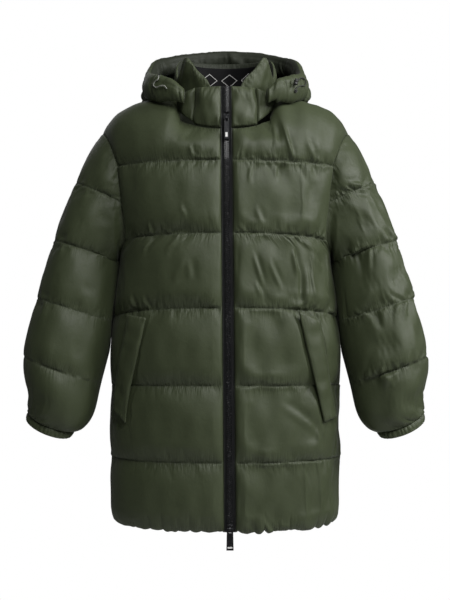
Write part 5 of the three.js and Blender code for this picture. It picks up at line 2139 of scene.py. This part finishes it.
@dataclass(frozen=True)
class Studio:
    """A plain pale floor, a white surround, soft lights and the camera."""

    floor_z: float = -1.45
    surround: float = 0.085
    key_power: float = 72.0
    front_power: float = 70.0
    top_power: float = 2.0
    fill_power: float = 2.0
    behind_power: float = 5.0

    def light(self, name: str, place: tuple, aim: tuple, size: float, power: float) -> None:
        """Adds a soft square light."""
        lamp = bpy.data.lights.new(name, "AREA")
        lamp.size = size
        lamp.energy = power
        made = bpy.data.objects.new(name, lamp)
        made.location = place
        made.rotation_euler = (Vector(aim) - Vector(place)).to_track_quat("-Z", "Y").to_euler()
        bpy.context.scene.collection.objects.link(made)

    def build(self) -> None:
        """Makes the camera, the surround, the lights and the floor."""
        scene = bpy.context.scene
        scene.view_settings.view_transform = "Standard"
        camera = bpy.data.cameras.new("camera")
        camera.lens = 87.6
        camera.sensor_width = 36
        eye = bpy.data.objects.new("camera", camera)
        eye.location = (-0.001, -3.0, -0.543)
        eye.rotation_euler = (math.radians(90 + 2.70), 0, 0)
        scene.collection.objects.link(eye)
        scene.camera = eye
        world = bpy.data.worlds.new("studio")
        world.use_nodes = True
        nodes = Nodes(world.node_tree)
        ray = nodes.add("ShaderNodeLightPath").outputs["Is Camera Ray"]
        strength = nodes.math("MULTIPLY_ADD", ray, 1.0 - self.surround, self.surround)
        plain = world.node_tree.nodes["Background"].inputs
        nodes.feed(plain["Color"], (1, 1, 1, 1))
        nodes.feed(plain["Strength"], strength)
        scene.world = world
        self.light("key", (2.4, -1.0, 1.1), (0, 0, -0.4), 1.3, self.key_power)
        self.light("front", (0.75, -2.5, 1.9), (0, 0, -0.4), 1.5, self.front_power)
        self.light("top", (0.2, -0.5, 2.2), (0, 0, -0.3), 1.4, self.top_power)
        self.light("fill", (2.3, -1.9, -0.7), (0, 0, -0.4), 1.6, self.fill_power)
        self.light("behind", (-1.2, 2.4, 1.4), (0, 0, -0.4), 1.6, self.behind_power)
        self.build_floor()

    def build_floor(self) -> None:
        """Makes the floor, well below the coat."""
        shape = bmesh.new()
        bmesh.ops.create_grid(
            shape, x_segments=2, y_segments=2, size=1.5, matrix=Matrix.Translation((0, 0, self.floor_z))
        )
        floor = finish_mesh("floor", shape)
        made = Surface("pale_floor")
        grain = made.spread(made.noise(made.place, 3.0), 0.70, 0.78)
        tone = made.add("ShaderNodeCombineColor", {0: grain, 1: grain, 2: grain})
        floor.data.materials.append(made.finish(tone.outputs[0], 0.7, {}))


# ---- the coat


WELTS = (
    WeltPlan(-1, (
        (-0.149, -0.443, -0.181, -0.436), (-0.163, -0.510, -0.194, -0.497),
        (-0.176, -0.574, -0.205, -0.556), (-0.184, -0.622, -0.209, -0.604),
        (-0.186, -0.650, -0.210, -0.622),
    )),
    WeltPlan(1, (
        (0.137, -0.430, 0.177, -0.447), (0.152, -0.500, 0.187, -0.512),
        (0.166, -0.562, 0.196, -0.573), (0.177, -0.615, 0.204, -0.615),
        (0.184, -0.648, 0.209, -0.638),
    )),
)

DRAWCORDS = (
    Drawcord("right", (
        (-0.1342, -0.0896, 0.0465), (-0.1355, -0.0958, 0.0375), (-0.1425, -0.0922, 0.0325),
        (-0.1448, -0.0914, 0.0260), (-0.1388, -0.0974, 0.0206), (-0.1302, -0.1038, 0.0223),
        (-0.1228, -0.1082, 0.0217), (-0.1169, -0.1116, 0.0154),
    ), 0.068),
    Drawcord("left", (
        (0.1454, -0.0906, 0.0352), (0.1505, -0.0814, 0.0424), (0.1583, -0.0675, 0.0446),
        (0.1636, -0.0585, 0.0382), (0.1614, -0.0660, 0.0310), (0.1550, -0.0778, 0.0276),
        (0.1486, -0.0876, 0.0252), (0.1426, -0.0942, 0.0196), (0.1412, -0.0954, 0.0130),
    ), 0.096),
)

RIGHT_RELIEF = Relief(
    Puckers(spots=(
        (-0.026, -0.132, 0.035, 1.0), (-0.151, -0.276, 0.018, 1.6), (-0.085, -0.276, 0.022, 0.9),
        (-0.176, -0.424, 0.032, 2.0), (-0.020, -0.424, 0.020, 0.6), (-0.020, -0.576, 0.020, 0.5),
    ), seed=1),
    (
        Fold(-0.0712, -0.1023, -0.0634, -0.1277), Fold(-0.1541, -0.2544, -0.1461, -0.2778, 0.003, 0.003),
        Fold(-0.1461, -0.2856, -0.1660, -0.3140, 0.003, 0.003),
        Fold(-0.0868, -0.2778, -0.1219, -0.3188, 0.005, 0.0025),
        Fold(-0.1901, -0.3977, -0.1784, -0.4260, 0.003, 0.004),
        Fold(-0.1667, -0.4016, -0.1461, -0.4299, 0.003, 0.004),
        Fold(-0.0907, -0.2232, -0.0751, -0.2466, 0.004, 0.002),
        Fold(-0.0751, -0.3266, -0.1063, -0.3734, 0.007, 0.002),
        Fold(-0.0751, -0.3266, -0.0680, -0.3700, 0.006, 0.002),
    ),
)
LEFT_RELIEF = Relief(
    Puckers(spots=(
        (0.180, -0.278, 0.050, 1.8), (0.175, -0.430, 0.055, 1.8), (0.145, -0.134, 0.060, 1.1),
        (0.213, -0.570, 0.030, 1.2), (0.030, -0.134, 0.030, 0.8), (0.022, -0.280, 0.025, 0.9),
        (0.022, -0.430, 0.025, 0.8), (0.022, -0.575, 0.025, 0.9), (0.030, -0.728, 0.025, 0.9),
        (0.200, -0.700, 0.040, 1.0), (0.060, -0.850, 0.080, 0.6),
    ), seed=2),
    (
        Fold(0.1160, -0.0610, 0.1336, -0.1316, 0.004, 0.0042), Fold(0.1570, -0.0790, 0.1823, -0.1370),
        Fold(0.0965, -0.0535, 0.1004, -0.1040, 0.005, 0.0026), Fold(0.0517, -0.1390, 0.0449, -0.1780),
        Fold(0.1004, -0.1355, 0.0985, -0.1686), Fold(0.0575, -0.2232, 0.0731, -0.2622, 0.005, 0.0022),
        Fold(0.1316, -0.3030, 0.1414, -0.3617, 0.0045, 0.0060),
        Fold(0.1511, -0.3340, 0.1511, -0.4280, 0.0055, -0.0060),
        Fold(0.0517, -0.3110, 0.0751, -0.3850), Fold(0.0829, -0.3285, 0.1112, -0.3890),
        Fold(0.0556, -0.3695, 0.0731, -0.4065), Fold(0.1745, -0.3149, 0.1921, -0.3460, 0.004, 0.0030),
        Fold(0.2030, -0.3890, 0.2106, -0.4180, 0.003, 0.0028),
        Fold(0.0973, -0.6087, 0.2032, -0.6926, 0.0065, 0.0034, 0.006),
        Fold(0.1843, -0.6522, 0.1999, -0.6776, 0.004, 0.0034),
    ),
    waves=0.0016,
)
BACK_RELIEF = Relief(Puckers(everywhere=0.65, seed=3))
RIGHT_SLEEVE_RELIEF = Relief(Puckers(depth=0.0056, everywhere=0.45, lines=(0.2, 1, 1, 1, 1, 1.8), seed=4))
LEFT_SLEEVE_RELIEF = Relief(
    Puckers(
        depth=0.0070, reach=0.024, everywhere=0.55, lines=(0.4, 1, 1, 1, 1, 1.8), seed=5,
        spots=(
            (0.262, -0.182, 0.026, 1.6), (0.297, -0.301, 0.050, 2.0), (0.321, -0.426, 0.060, 1.8),
            (0.331, -0.551, 0.050, 1.4),
        ),
    ),
    waves=0.0016,
)


def main() -> None:
    """Builds the coat, piece by piece, in its studio."""
    logging.basicConfig(level=logging.INFO, format="%(name)s: %(message)s")
    Studio().build()
    wardrobe = Wardrobe()
    form, padding, inflation = BodyForm(), Padding(), Inflation()
    # The right cord takes the copy painted light, and the left takes the copy painted shade.
    DRAWCORDS[0].build(wardrobe, wardrobe.cord_painted_light)
    DRAWCORDS[1].build(wardrobe, wardrobe.cord_painted_shade)
    CordLock().build(wardrobe)
    Eyelet("eyelet_right", (-0.1342, -0.0896, 0.0455), (-0.5, -0.8, 0.3)).build(wardrobe)
    Eyelet("eyelet_left", (0.1412, -0.0954, 0.0140), (0.5, -0.8, 0.0)).build(wardrobe)
    sewn: list[Array] = []
    for panel in (
        FrontPanel("front_panel_right", "front_right", form, padding, RIGHT_RELIEF, 168, WELTS[0], side=-1),
        FrontPanel("front_panel_left", "front_left", form, padding, LEFT_RELIEF, 168, WELTS[1], side=1),
        BackPanel("back_panel", "back", form, padding, BACK_RELIEF, 260),
    ):
        sewn += panel.build(wardrobe, inflation)[1]
    for sleeve in (Sleeve(-1, form, RIGHT_SLEEVE_RELIEF), Sleeve(1, form, LEFT_SLEEVE_RELIEF)):
        sewn += sleeve.build(wardrobe, inflation)[1]
        sleeve.build_cuff(wardrobe)
    for piece in collar_pieces(form):
        piece.build(wardrobe, form)
    NeckFacing().build(wardrobe)
    Hood().build(wardrobe)
    HoodRim().build(wardrobe)
    for plan in WELTS:
        sewn += PocketWelt(plan, form, padding).build(wardrobe)[1]
    Stitching("quilting_stitches").build(sewn, wardrobe)
    fastener = Zip(form)
    fastener.build_teeth(wardrobe)
    fastener.build_tape(-1, wardrobe)
    fastener.build_tape(1, wardrobe)
    ZipSlider("top", (0.002, -0.1234, -0.046), 0.044, 0.010, 3.6, (0.0046, 0.0090)).build(wardrobe)
    ZipSlider("bottom", (0.0087, -0.1449, -0.853), 0.043, 0.014, 0.0, (0.0095, 0.0030)).build(wardrobe)


if __name__ == "__main__":
    main()
